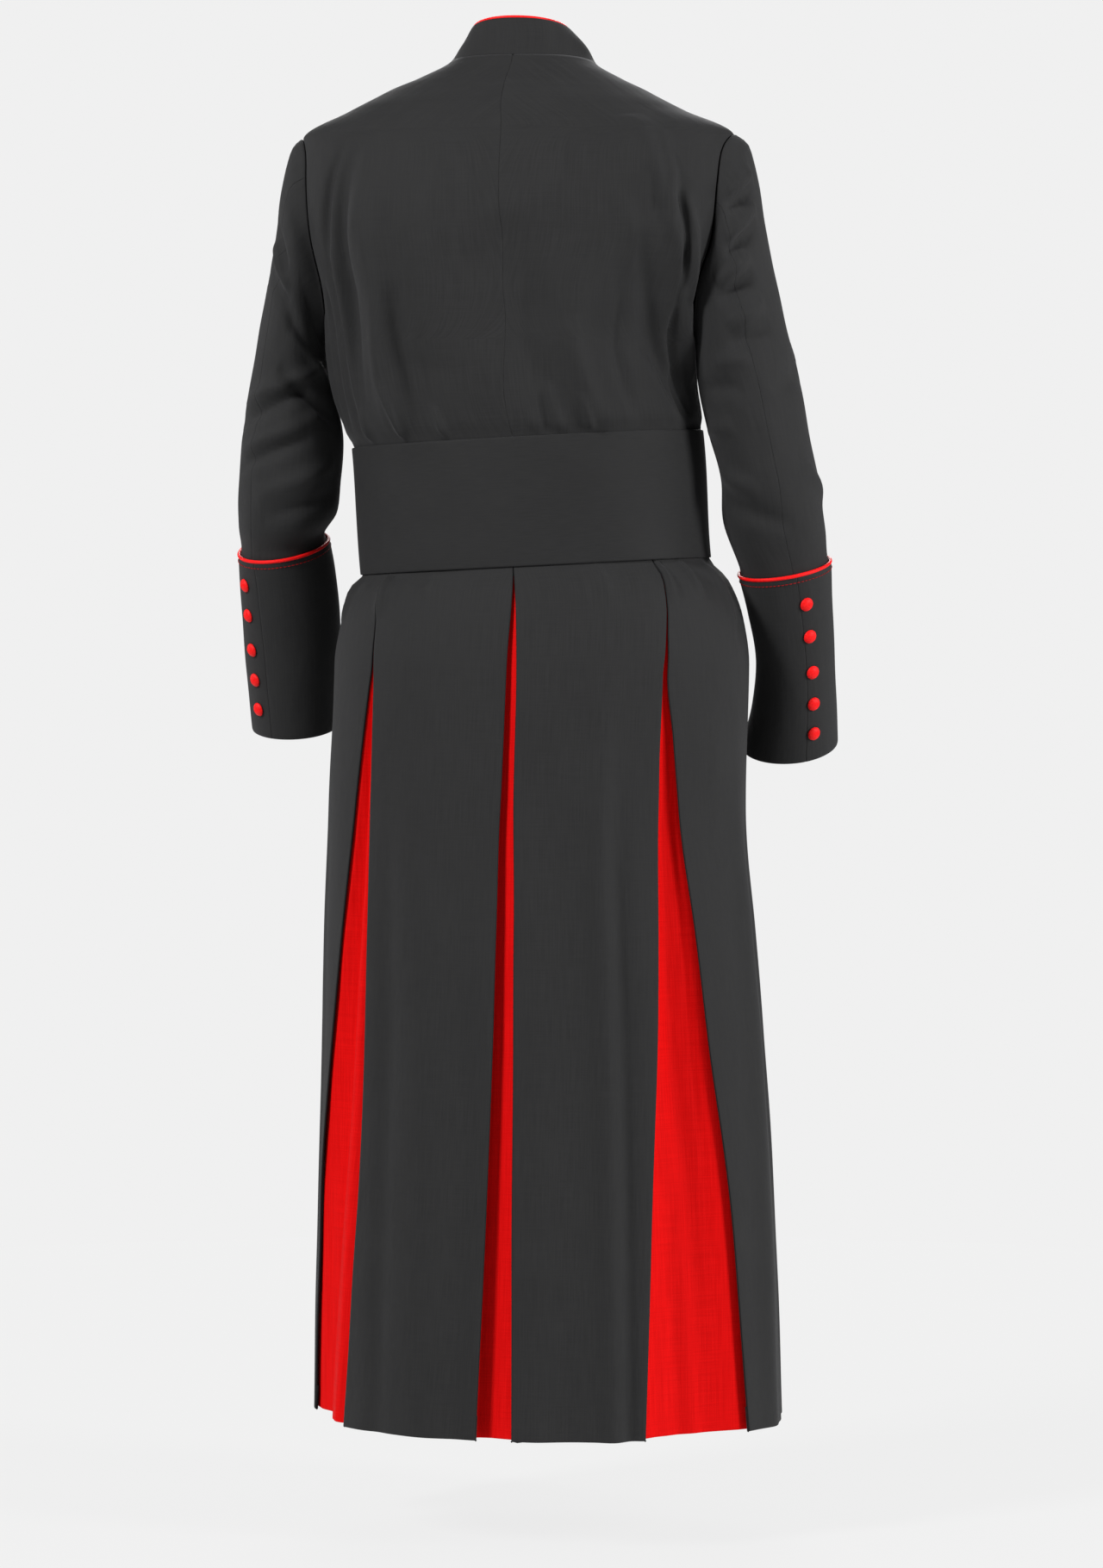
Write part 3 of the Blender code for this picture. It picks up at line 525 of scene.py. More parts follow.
def body_point(angle, z):
    """Points of the body before any fold."""
    power = ring_value("power", z)
    across = signed_power(np.sin(angle), 2 / power)
    back = signed_power(np.cos(angle), 2 / power)
    x = ring_value("centre_x", z) + ring_value("half_width", z) * across
    y = ring_value("centre_y", z) + ring_value("half_depth", z) * back
    height = z / MM + ring_value("rise", z) * back
    height = height - ring_value("dip", z) * ((1 - back) / 2) ** 2
    height = height + ring_value("lean", z) * ring_value("half_width", z) * across
    return np.stack(np.broadcast_arrays(x, y, height), -1) * MM


def unit(vectors):
    return vectors / np.linalg.norm(vectors, axis=-1, keepdims=True)


def body_normal(angle, z):
    round_it = body_point(angle + TURN_STEP, z) - body_point(angle - TURN_STEP, z)
    up_it = body_point(angle, z + LEVEL_STEP) - body_point(angle, z - LEVEL_STEP)
    return unit(np.cross(up_it, round_it))


def body_speed(angle, z):
    """Metres along the ring for each radian."""
    ahead = body_point(angle + TURN_STEP, z) - body_point(angle - TURN_STEP, z)
    return np.linalg.norm(ahead, axis=-1) / (2 * TURN_STEP)


def mean_radius(z):
    """The mean of the half width and half depth of the ring at a level, in millimetres."""
    return 0.5 * (ring_value("half_width", z) + ring_value("half_depth", z))


def fold_heights(table, angle, z, around, strength, to_hem=False):
    """How far the folds of a table push the cloth out, in metres. around turns angles into
    millimetres, and folds that reach the hem don't fade there."""
    total = np.zeros(np.broadcast(angle, z).shape)
    for fold in table:
        start_x = math.radians(fold.angle0) * around
        along_x = math.radians(fold.angle1) * around - start_x
        along_z = fold.z1 - fold.z0
        here_x = angle * around - start_x
        here_z = z / MM - fold.z0
        length = np.hypot(along_x, along_z)
        share = (here_x * along_x + here_z * along_z) / length**2
        aside = np.abs(here_x * along_z - here_z * along_x) / length
        held = np.sin(math.pi * np.clip(share, 0, 1)) ** FOLD_FADE
        if to_hem and fold.z1 <= HEM / MM:
            held = ease(3 * share)
        near = (share > 0) & (share <= 1.001) & (aside < FOLD_REACH * fold.half_width)
        total += np.where(near, fold.height * held * np.exp(-((aside / fold.half_width) ** 2)), 0)
    return total * strength * MM


def body_folds(angle, z):
    """The large folds, the creases, which the waist band holds flat, and an uneven surface of
    two sets of long soft waves, under a millimetre high."""
    around = mean_radius(z)
    above, below = z - BAND_TOP - BAND_HOLD, BAND_FOOT - BAND_HOLD - z
    free = ease(above / BAND_RELEASE) + ease(below / BAND_RELEASE)
    wide = angle * around
    low = z / MM
    uneven = 0.5 * np.sin(wide / 31 + 1.3 * np.sin(low / 83)) * np.sin(low / 61 + wide / 140)
    uneven = uneven + 0.25 * np.sin(wide / 13.7 + low / 190) * np.sin(low / 47 - wide / 77)
    uneven = uneven * ease((NECK_SEAM - z) / (30 * MM))
    creases = fold_heights(CREASES, angle, z, around, CREASE_STRENGTH, True) + uneven * MM
    return fold_heights(FOLDS, angle, z, around, FOLD_STRENGTH, True) + creases * free


# The sleeves' surfaces

def armhole_opening(z):
    """Half the armhole's width from front to back at a level."""
    middle = (SHOULDER + UNDERARM) / 2
    share = np.clip(np.abs(z - middle) / (SHOULDER - middle), 0, 1)
    return ARMHOLE_HALF_DEPTH * (1 - share**ARMHOLE_POWER) ** (1 / ARMHOLE_POWER)


def armhole_angle(z, side, towards_back):
    """The angle of the armhole's edge at a level, or of the side seam above and below it."""
    share = armhole_opening(z) / (ring_value("half_depth", z) * MM)
    turn = np.arcsin(share ** (ring_value("power", z) / 2))
    return side * np.where(towards_back, SIDE_SEAM - turn, SIDE_SEAM + turn)


def armhole_loop_point(turn, side, out):
    """Points of the armhole's edge, moved sideways. Turn 0 is the shoulder, 90 degrees the back."""
    middle = (SHOULDER + UNDERARM) / 2
    z = middle + (SHOULDER - middle) * np.cos(turn)
    angle = armhole_angle(z, side, np.sin(turn) > 0)
    height = fold_heights(FOLDS, angle, z, mean_radius(z), FOLD_STRENGTH)[..., None]
    return body_point(angle, z) + body_normal(angle, z) * height + np.array([side * out, 0, 0])


def section_point(section, turn, side):
    """Points of a sleeve section. Turn 0 is its outer edge, 90 degrees the back."""
    outer = np.array([side * section.outer_x, section.mid_y, section.outer_z])
    inner = np.array([side * section.inner_x, section.mid_y, section.inner_z])
    depth = np.array([0, section.half_depth, -section.droop])
    turn = np.asarray(turn)[..., None]
    return ((outer + inner) / 2 + (outer - inner) / 2 * np.cos(turn) + depth * np.sin(turn)) * MM


class Sleeve:
    """A sleeve's smooth surface. Its two coordinates are the turn round it and the distance from
    the armhole, in metres, which is negative so that it rises towards the armhole."""

    def __init__(self, name):
        self.side = SIDES[name]
        self.creases = SLEEVE_CREASES[name]
        self.sections = SLEEVES[name]
        turns = np.linspace(0, 2 * math.pi, SLEEVE_SAMPLES, endpoint=False)
        rings = self.rings(turns)
        steps = np.linalg.norm(np.diff(rings, axis=0), axis=-1).mean(axis=1)
        self.places = np.concatenate([[0], np.cumsum(steps)])

    def rings(self, turn):
        rings = [armhole_loop_point(turn, self.side, ARMHOLE_GAP)]
        rings.append(armhole_loop_point(turn, self.side, ARMHOLE_GAP + ARMHOLE_LIP))
        rings += [section_point(section, turn, self.side) for section in self.sections]
        return np.stack(rings)

    def section_place(self, index):
        """The place of a section of the table, which may lie between two of them."""
        return -float(np.interp(index + 2, np.arange(len(self.places)), self.places))

    def point(self, turn, place):
        turn, place = np.broadcast_arrays(np.asarray(turn, float), np.asarray(place, float))
        rings = self.rings(turn)
        knots = self.places
        slopes = np.empty_like(rings)
        slopes[0] = (rings[1] - rings[0]) / knots[1]
        slopes[-1] = (rings[-1] - rings[-2]) / (knots[-1] - knots[-2])
        gaps = (knots[2:] - knots[:-2]).reshape(-1, *[1] * (rings.ndim - 1))
        slopes[1:-1] = (rings[2:] - rings[:-2]) / gaps
        down = np.clip(-place, 0, knots[-1])
        i = np.clip(np.searchsorted(knots, down) - 1, 0, len(knots) - 2)
        step = (knots[i + 1] - knots[i])[..., None]
        t = (down - knots[i])[..., None] / step

        def pick(table, index):
            return np.take_along_axis(table, index[None, ..., None], axis=0)[0]

        start = (1 + 2 * t) * (1 - t) ** 2 * pick(rings, i) + t * (1 - t) ** 2 * step * pick(slopes, i)
        end = t * t * (3 - 2 * t) * pick(rings, i + 1) - t * t * (1 - t) * step * pick(slopes, i + 1)
        return start + end

    def normal(self, turn, place):
        after = self.point(turn + SLEEVE_TURN_STEP, place)
        round_it = after - self.point(turn - SLEEVE_TURN_STEP, place)
        above = self.point(turn, place + SLEEVE_LEVEL_STEP)
        up_it = above - self.point(turn, place - SLEEVE_LEVEL_STEP)
        return unit(np.cross(up_it, round_it)) * -self.side

    def speed(self, turn, place):
        ahead = self.point(turn + TURN_STEP, place) - self.point(turn - TURN_STEP, place)
        return np.linalg.norm(ahead, axis=-1) / (2 * TURN_STEP)

    def folds(self, turn, place):
        """Creases, a soft roll below the armhole seam and a slightly uneven surface."""
        at = self.point(turn, place)
        z = at[..., 2]
        turned = np.mod(turn + SLEEVE_BACK_TURN, 2 * math.pi) - SLEEVE_BACK_TURN
        heights = fold_heights(self.creases, turned, z, SLEEVE_MEAN_RADIUS, SLEEVE_CREASE_STRENGTH)
        roll = np.exp(-(((place + SLEEVE_ROLL_PLACE) / SLEEVE_ROLL_WIDTH) ** 2))
        roll = roll * ease(np.cos(turn - 0.3) + 0.6)
        uneven = 0.5 * np.sin(turned * 4.1 + z / MM / 37) * np.sin(z / MM / 29 + turned)
        uneven = uneven + 0.3 * np.sin(turned * 7.3 - z / MM / 23) * np.sin(z / MM / 17)
        calm = ease(-place / (14 * MM))
        cuff_starts = self.section_place(CUFF_FIRST_SECTION - 1.6)
        calm = calm * ease((place - cuff_starts) / (30 * MM))
        return (heights + uneven * MM) * calm + SLEEVE_ROLL * roll


class Body:
    """The body of the robe, with the same calls as a sleeve."""

    side = -1
    point = staticmethod(body_point)
    normal = staticmethod(body_normal)
    speed = staticmethod(body_speed)
    folds = staticmethod(body_folds)


# Meshes

Patch = namedtuple("Patch", "points lifts weave edge closed")


def edge_columns(profile, edge, speed, towards):
    """The columns of a finished edge, and their lifts and distances."""
    fine = profile is FINE_SEAM
    # A fine seam keeps its painted shade to a thin line right at the seam.
    return [(edge + towards * d * MM / speed, lift, FAR if fine and d > PAINTED_SEAM_SHADE_REACH else d)
            for d, lift in profile]


def patch(surface, places, right, left, edges=(SEAM_EDGE, SEAM_EDGE), ends=(RAW_EDGE, RAW_EDGE),
          pitch=COLUMN_PITCH, row_pitch=ROW_PITCH, lift=None, folds=True):
    """A grid of points over a surface, from its foot up and from the robe's right to its left.

    places is the lowest place, the highest, and any others between them; right and left give the
    edges at a place. edges are the finishes of the right and left edges, ends of the foot and top.
    """
    foot, *between, top = places
    levels = [foot + d * MM for d, _ in ends[0]]
    level_lifts = [one for _, one in ends[0]]
    if between:
        inner = np.asarray(between)
    else:
        count = max(int((top - foot) / MM / row_pitch), 2)
        inner = np.linspace(foot + EDGE_DEPTH * MM, top - EDGE_DEPTH * MM, count + 1)
    levels = np.array([*levels, *inner, *[top - d * MM for d, _ in reversed(ends[1])]])
    level_lifts = [*level_lifts, *np.zeros(len(inner)), *[one for _, one in reversed(ends[1])]]
    level_edges = [
        *[d if one < 0 else FAR for d, one in ends[0]], *np.full(len(inner), FAR),
        *[d if one < 0 else FAR for d, one in reversed(ends[1])],
    ]
    rights = np.array([float(right(v)) for v in levels])
    lefts = np.array([float(left(v)) for v in levels])
    right_speed = surface.speed(rights, levels)
    left_speed = surface.speed(lefts, levels)
    columns = edge_columns(edges[0], rights, right_speed, 1)
    start = rights + EDGE_DEPTH * MM / right_speed
    end = lefts - EDGE_DEPTH * MM / left_speed
    widest = float(((end - start) * surface.speed((start + end) / 2, levels)).max()) / MM
    for share in np.linspace(0, 1, max(int(widest / pitch), 4) + 1):
        columns.append((start + (end - start) * share, 0.0, FAR))
    columns += edge_columns(edges[1], lefts, left_speed, -1)[::-1]
    across = np.stack([c[0] for c in columns], axis=1)
    down = np.repeat(levels[:, None], across.shape[1], axis=1)
    lifts = np.minimum(np.array([c[1] for c in columns])[None, :], np.array(level_lifts)[:, None]) * MM
    edge = np.minimum(np.array([c[2] for c in columns])[None, :], np.array(level_edges)[:, None])
    # Cloth turned in under an edge takes the full painted shade.
    edge = np.where(lifts < TURNED_IN, 0, edge)
    lifts = lifts + (surface.folds(across, down) if folds else 0.0)
    if lift is not None:
        lifts = lifts + lift(across, down)
    points = surface.point(across, down) + surface.normal(across, down) * lifts[..., None]
    middle = (across[:, :1] + across[:, -1:]) / 2
    threads = (across - middle) * surface.speed(middle, down[:, :1])
    return Patch(points, lifts, np.stack([threads, down], -1), edge, False)


def ring_patch(surface, levels, lifts, columns, start=None, lift=None):
    """A closed ring of cloth round a surface. Each column is an angle, a lift in millimetres and
    its distance to a seam; start gives the angle of the first column at a level."""
    levels = np.asarray(levels)
    columns = np.asarray(columns)
    across, down = np.meshgrid(columns[:, 0], levels)
    if start is not None:
        across = across + start(levels)[:, None]
    heights = (np.asarray(lifts)[:, None] + columns[None, :, 1]) * MM
    if lift is not None:
        heights = heights + lift(across, down)
    points = surface.point(across, down) + surface.normal(across, down) * heights[..., None]
    threads = across * float(surface.speed(0.5, np.mean(levels)))
    weave = np.stack([threads, down], -1)
    edge = np.repeat(columns[None, :, 2], len(levels), axis=0)
    if surface.side > 0:
        points, heights, weave, edge = points[:, ::-1], heights[:, ::-1], weave[:, ::-1], edge[:, ::-1]
    return Patch(points, heights, weave, edge, True)


def grid_faces(rows, columns, closed):
    low = np.arange(rows - 1)[:, None] * columns
    i = np.arange(columns if closed else columns - 1)[None, :]
    j = (i + 1) % columns
    faces = np.stack([low + i, low + columns + i, low + columns + j, low + j], -1)
    return faces.reshape(-1, 4)


def threaded_mesh(name, points, faces, threads):
    """A smooth mesh with the cloth's threads as its map, in metres."""
    mesh = bpy.data.meshes.new(name)
    mesh.from_pydata(points.reshape(-1, 3).tolist(), [], faces)
    layer = mesh.uv_layers.new(name="threads")
    corners = np.empty(len(mesh.loops), dtype=np.int32)
    mesh.loops.foreach_get("vertex_index", corners)
    layer.uv.foreach_set("vector", threads.reshape(-1, 2)[corners].astype(np.float32).ravel())
    mesh.shade_smooth()
    return mesh


def cloth_mesh(name, grid):
    """The mesh of a patch, which also keeps its distance to an edge."""
    rows, columns = grid.points.shape[:2]
    mesh = threaded_mesh(name, grid.points, grid_faces(rows, columns, grid.closed).tolist(), grid.weave)
    kept = mesh.attributes.new("edge", "FLOAT", "POINT")
    kept.data.foreach_set("value", grid.edge.astype(np.float32).ravel())
    mesh.validate()
    return mesh


def placed(name, data):
    """An object in the scene with its data."""
    made = bpy.data.objects.new(name, data)
    bpy.context.scene.collection.objects.link(made)
    return made


def cut_size(points, closed):
    """A piece's width and length when laid flat, and its area, in metres."""
    across = np.linalg.norm(np.diff(points, axis=1), axis=-1)
    down = np.linalg.norm(np.diff(points, axis=0), axis=-1)
    if closed:
        across = np.concatenate([across, np.linalg.norm(points[:, :1] - points[:, -1:], axis=-1)], 1)
    a = points[1:, :-1] - points[:-1, :-1]
    b = points[:-1, 1:] - points[:-1, :-1]
    c = points[1:, :-1] - points[1:, 1:]
    d = points[:-1, 1:] - points[1:, 1:]
    area = 0.5 * (np.linalg.norm(np.cross(a, b), axis=-1) + np.linalg.norm(np.cross(c, d), axis=-1)).sum()
    if closed:
        area *= points.shape[1] / (points.shape[1] - 1)
    return float(across.sum(axis=1).max()), float(down.sum(axis=0).max()), float(area)


def dress(piece, node_names, finish):
    """Every piece rides on the robe, and most stand for plain solids."""
    piece.data.materials.append(finish)
    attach(piece, "root")
    if node_names:
        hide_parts(*node_names)


def cloth(name, nodes, grid, thickness, finish):
    """A piece of cloth with its real thickness. The size it is cut to is worked out but not used."""
    piece = placed(name, cloth_mesh(name, grid))
    wall = piece.modifiers.new("wall", "SOLIDIFY")
    wall.thickness = thickness
    wall.offset = -1
    wall.use_even_offset = False
    dress(piece, nodes, finish)
    width, length, area = cut_size(grid.points, grid.closed)
    area = min(area, width * length)
    return piece


def tube_mesh(paths, radius, sides, closed, squash=1.0):
    """Round cords along paths, as points, faces, a map and edge distances."""
    points, faces, maps = [], [], []
    start = 0
    for path in paths:
        path = np.asarray(path)
        count = len(path)
        if closed:
            ahead = np.roll(path, -1, axis=0) - np.roll(path, 1, axis=0)
        else:
            ahead = np.gradient(path, axis=0)
        ahead = unit(ahead)
        aside = np.empty_like(path)
        aside[0] = unit(np.cross(ahead[0], STEEP_WAY))
        for i in range(1, count):
            aside[i] = unit(aside[i - 1] - ahead[i] * (aside[i - 1] @ ahead[i]))
        other = np.cross(ahead, aside)
        turns = np.linspace(0, 2 * math.pi, sides, endpoint=False)
        sizes = np.full(count, radius)
        if not closed:
            sizes[[0, -1]] *= CORD_END
        ring = aside[:, None] * np.cos(turns)[None, :, None]
        ring = ring + other[:, None] * np.sin(turns)[None, :, None] * squash
        points.append((path[:, None] + ring * sizes[:, None, None]).reshape(-1, 3))
        along = np.concatenate([[0], np.cumsum(np.linalg.norm(np.diff(path, axis=0), axis=1))])
        grid = np.stack(np.broadcast_arrays(turns[None, :] * radius, along[:, None]), -1)
        maps.append(grid.reshape(-1, 2))
        rows = np.arange(count if closed else count - 1)
        after = (rows + 1) % count
        i = np.arange(sides)
        j = (i + 1) % sides
        quads = np.stack([
            rows[:, None] * sides + i, rows[:, None] * sides + j,
            after[:, None] * sides + j, after[:, None] * sides + i,
        ], -1).reshape(-1, 4)
        faces += (quads + start).tolist()
        if not closed:
            faces.append((start + np.arange(sides)[::-1]).tolist())
            faces.append((start + (count - 1) * sides + np.arange(sides)).tolist())
        start += count * sides
    return np.concatenate(points), faces, np.concatenate(maps)


def cord(name, paths, radius, finish, nodes=(), sides=12, closed=False, squash=1.0):
    """Cords along paths as one piece. A cord that isn't closed has narrower ends."""
    points, faces, maps = tube_mesh(paths, radius, sides, closed, squash)
    piece = placed(name, threaded_mesh(name, points, faces, maps))
    dress(piece, nodes, finish)
    return piece


# Finishes

CHARCOAL_SHEEN = (0.55, 0.55, 0.57, 1)


class Tone:
    """A shader value that takes part in Python arithmetic."""

    def __init__(self, finish, socket):
        self.finish = finish
        self.socket = socket

    def calc(self, operation, *values):
        return self.finish.node("ShaderNodeMath", {"operation": operation}, dict(enumerate(values)))

    def __add__(self, other):
        return self.calc("ADD", self, other)

    __radd__ = __add__

    def __sub__(self, other):
        return self.calc("SUBTRACT", self, other)

    def __rsub__(self, other):
        return self.calc("SUBTRACT", other, self)

    def __mul__(self, other):
        return self.calc("MULTIPLY", self, other)

    __rmul__ = __mul__

    def sine(self):
        return self.calc("SINE", self)

    def step(self, low, high):
        """0 below low, 1 above high, smooth between."""
        settings = {"interpolation_type": "SMOOTHSTEP"}
        return self.finish.node("ShaderNodeMapRange", settings, {0: self, 1: low, 2: high})


class Finish:
    """A procedural material, with its nodes made by one method."""

    def __init__(self, name):
        self.material = bpy.data.materials.new(name)
        self.material.use_nodes = True
        self.tree = self.material.node_tree
        self.shader = self.tree.nodes["Principled BSDF"]

    def node(self, kind, settings, values, output=0):
        made = self.tree.nodes.new(kind)
        for key, value in settings.items():
            setattr(made, key, value)
        for key, value in values.items():
            self.put(made.inputs[key], value)
        return Tone(self, made.outputs[output])

    def put(self, socket, value):
        if isinstance(value, Tone):
            self.tree.links.new(value.socket, socket)
        else:
            socket.default_value = value

    def threads(self, across, down):
        """The cloth's own coordinates, stretched."""
        place = self.node("ShaderNodeUVMap", {"uv_map": "threads"}, {})
        settings = {"operation": "MULTIPLY"}
        return self.node("ShaderNodeVectorMath", settings, {0: place, 1: (across, down, 1.0)})

    def parts(self, vector):
        """The first two parts of a vector."""
        first = self.node("ShaderNodeSeparateXYZ", {}, {0: vector})
        return first, Tone(self, first.socket.node.outputs[1])

    def noise(self, vector, scale=1.0, detail=2.0, roughness=0.5):
        values = {"Vector": vector, "Scale": scale, "Detail": detail, "Roughness": roughness}
        return self.node("ShaderNodeTexNoise", {"noise_dimensions": "3D"}, values)

    def shades(self, share, dark, light):
        """A colour between two, by a share."""
        values = {0: share, 6: (*dark, 1), 7: (*light, 1)}
        return self.node("ShaderNodeMix", {"data_type": "RGBA"}, values, 2)

    def edge(self):
        """The distance to a finished edge, in millimetres."""
        settings = {"attribute_type": "GEOMETRY", "attribute_name": "edge"}
        return self.node("ShaderNodeAttribute", settings, {}, 2)

    def bump(self, height, depth, below=None):
        values = {"Strength": 1.0, "Distance": depth, "Height": height}
        if below is not None:
            values["Normal"] = below
        return self.node("ShaderNodeBump", {}, values)

    def set(self, **values):
        for key, value in values.items():
            self.put(self.shader.inputs[key.replace("_", " ")], value)


def weave_height(finish, pitch, rib=1.0):
    """Threads over and under each other; rib above 1 makes the cross threads stand up."""
    turns = 2 * math.pi / (pitch * MM)
    x, y = finish.parts(finish.threads(turns, turns * rib))
    return x.sine() * y.sine() * 0.5 + 0.5


def suiting(name, dark, light, pitch=0.55, sheen=0.12, roughness=0.74, painted_edge_shade=0.85):
    """Smooth suiting: a fine plain weave with faint slubs along and across, and soft handling. Near its
    seams and folded edges the colour is darkened by painted shade.
    """
    made = Finish(name)
    along = made.noise(made.threads(900, 22), detail=3.0)
    across = made.noise(made.threads(30, 1100), detail=3.0)
    cloud = made.noise(made.threads(14, 9), detail=4.0, roughness=0.6)
    slub = along * 0.5 + across * 0.3 + cloud * 0.2
    edge = made.edge()
    worn = slub.step(0.36, 0.64)
    # Painted shade: the colour is darkened to about a third at a seam or folded edge, fading out within
    # 1.3 mm.
    near = edge.step(0.1, 1.3)
    colour = made.shades(worn, dark, light)
    painted_shade_colour = made.node("ShaderNodeMix", {"data_type": "RGBA", "blend_type": "MULTIPLY"},
                       {0: (1 - near) * painted_edge_shade, 6: colour, 7: (0.25, 0.25, 0.25, 1)}, 2)
    weave = weave_height(made, pitch)
    soft = made.noise(made.threads(26, 17), detail=3.0, roughness=0.55)
    rough = made.bump(soft, 1.6 * MM)
    threads = made.bump(slub, 0.10 * MM, rough)
    fine = made.bump(weave, 0.05 * MM, threads)
    made.set(Base_Color=painted_shade_colour, Roughness=roughness + (worn - 0.5) * 0.10, Normal=fine)
    made.set(Sheen_Weight=sheen, Sheen_Roughness=0.45)
    made.set(Sheen_Tint=CHARCOAL_SHEEN, Specular_IOR_Level=0.14)
    return made.material


def red_cloth(name, dark, light, pitch=0.6, roughness=0.66, sheen=0.03):
    """Plain red cloth with the same fine weave."""
    made = Finish(name)
    along = made.noise(made.threads(700, 16), detail=3.0)
    across = made.noise(made.threads(22, 900), detail=2.0)
    slub = along * 0.6 + across * 0.4
    colour = made.shades(slub.step(0.34, 0.66), dark, light)
    weave = weave_height(made, pitch)
    soft = made.noise(made.threads(20, 7), detail=3.0)
    rough = made.bump(soft, 0.8 * MM)
    fine = made.bump(weave, 0.05 * MM, made.bump(slub, 0.08 * MM, rough))
    made.set(Base_Color=colour, Roughness=roughness + (slub - 0.5) * 0.1, Normal=fine)
    made.set(Sheen_Weight=sheen, Sheen_Roughness=0.4, Specular_IOR_Level=0.03)
    made.set(Sheen_Tint=(0.9, 0.06, 0.06, 1))
    return made.material


def ribbed_band(name, dark, light):
    """The waist band's close horizontal ribs."""
    made = Finish(name)
    turns = 2 * math.pi / (0.9 * MM)
    _, y = made.parts(made.threads(turns, turns))
    rib = y.sine() * 0.5 + 0.5
    slub = made.noise(made.threads(60, 1000), detail=3.0)
    cloud = made.noise(made.threads(12, 20), detail=3.0)
    colour = made.shades((slub * 0.7 + cloud * 0.3).step(0.35, 0.65), dark, light)
    soft = made.bump(made.noise(made.threads(16, 22), detail=2.0), 0.7 * MM)
    fine = made.bump(rib, 0.06 * MM, soft)
    made.set(Base_Color=colour, Roughness=0.70 + (slub - 0.5) * 0.12, Normal=fine)
    made.set(Sheen_Weight=0.10, Sheen_Roughness=0.4)
    made.set(Sheen_Tint=CHARCOAL_SHEEN, Specular_IOR_Level=0.14)
    return made.material


def bias_red(name, dark, light, turns_per_mm=1.1):
    """Red bias cloth drawn tight over a cord or a button, with slanting threads."""
    made = Finish(name)
    turns = 2 * math.pi * turns_per_mm / MM
    x, y = made.parts(made.threads(turns, turns))
    twill = (x + y).sine() * 0.5 + 0.5
    slub = made.noise(made.threads(500, 500), detail=3.0)
    colour = made.shades(slub.step(0.3, 0.7), dark, light)
    fine = made.bump(twill, 0.05 * MM, made.bump(slub, 0.06 * MM))
    made.set(Base_Color=colour, Roughness=0.46 + (slub - 0.5) * 0.15, Normal=fine)
    made.set(Sheen_Weight=0.1, Sheen_Roughness=0.35, Specular_IOR_Level=0.12)
    made.set(Sheen_Tint=(1.0, 0.2, 0.2, 1))
    return made.material


# Colours are linear shares of red, green and blue, darker and lighter threads
charcoal = suiting("charcoal_suiting", (0.0168, 0.0168, 0.0172), (0.0228, 0.0228, 0.0232))
band_finish = ribbed_band("charcoal_band", (0.0168, 0.0168, 0.0172), (0.0206, 0.0206, 0.0210))
insert_finish = red_cloth("red_insert_cloth", (0.58, 0.0025, 0.0025), (0.70, 0.0045, 0.0045))
piping_finish = bias_red("red_piping", (0.80, 0.006, 0.007), (0.93, 0.012, 0.012))
button_finish = bias_red("red_button_cloth", (0.76, 0.006, 0.007), (0.90, 0.012, 0.012), 0.9)
stitch_finish = bias_red("red_stitching", (0.20, 0.004, 0.005), (0.34, 0.008, 0.009), 1.6)


# The body of the robe

def front_lap_left(z):
    return CENTRE_FRONT + LAP / body_speed(CENTRE_FRONT, z)


def front_lap_right(z):
    return -CENTRE_FRONT - LAP / body_speed(CENTRE_FRONT, z)


def lap_lift(angle, z):
    """The left front is lifted where it lies over the right front."""
    speed = body_speed(CENTRE_FRONT, z)
    full = CENTRE_FRONT - (LAP + LAP_MARGIN) / speed
    start = CENTRE_FRONT - (LAP + LAP_MARGIN + LAP_RAMP) / speed
    return LAP_LIFT * ease((angle - start) / (full - start))


def centre_back(z):
    return np.radians(CENTRE_BACK_AT(z / MM))


def bodice_levels():
    """Close levels where the armhole's edge and the shoulders slope most."""
    middle = (SHOULDER + UNDERARM) / 2
    rows_below, rows_beside, rows_above = BODICE_ROWS
    turns = np.linspace(0, math.pi, rows_beside)
    below = np.linspace(WAIST_SEAM, UNDERARM - 3 * MM, rows_below)
    armhole = middle - (middle - UNDERARM) * np.cos(turns)
    above = np.linspace(SHOULDER + 1.2 * MM, NECK_SEAM - 3 * MM, rows_above)
    return [WAIST_SEAM, *below[1:], *armhole, *above, NECK_SEAM]


def make_bodice():
    levels = bodice_levels()
    ends = (PLAIN_END, PLAIN_END)
    panels = [
        ("bodice_back_left", centre_back, lambda z: armhole_angle(z, 1, True), (FINE_SEAM, SEAM_EDGE)),
        ("bodice_back_right", lambda z: armhole_angle(z, -1, True), centre_back, (SEAM_EDGE, FINE_SEAM)),
    ]
    for name, right, left, edges in panels:
        grid = patch(Body, levels, right, left, edges=edges, ends=ends, pitch=BACK_COLUMN_PITCH)
        cloth(f"cloth_{name}", [name], grid, CLOTH, charcoal)
    grid = patch(Body, levels, front_lap_right, lambda z: armhole_angle(z, -1, False),
                 edges=(FOLDED_EDGE, SEAM_EDGE), ends=ends)
    cloth("cloth_bodice_front_right", ["bodice_front_right"], grid, CLOTH, charcoal)
    grid = patch(Body, levels, lambda z: armhole_angle(z, 1, False), front_lap_left,
                 edges=(SEAM_EDGE, FOLDED_EDGE), ends=ends, lift=lap_lift)
    buttons = front_buttons(BAND_TOP, NECK_SEAM)
    cloth("cloth_bodice_front_left", ["bodice_front_left"], grid, CLOTH, charcoal)


def pleat_edges(name):
    """The angles of a pleat's two edges, as functions of the level."""
    table = sorted(PLEATS[name])
    heights = [row.z for row in table]
    right = curve_through(heights, [row.right for row in table])
    left = curve_through(heights, [row.left for row in table])
    return (lambda z: np.radians(right(z / MM))), (lambda z: np.radians(left(z / MM)))


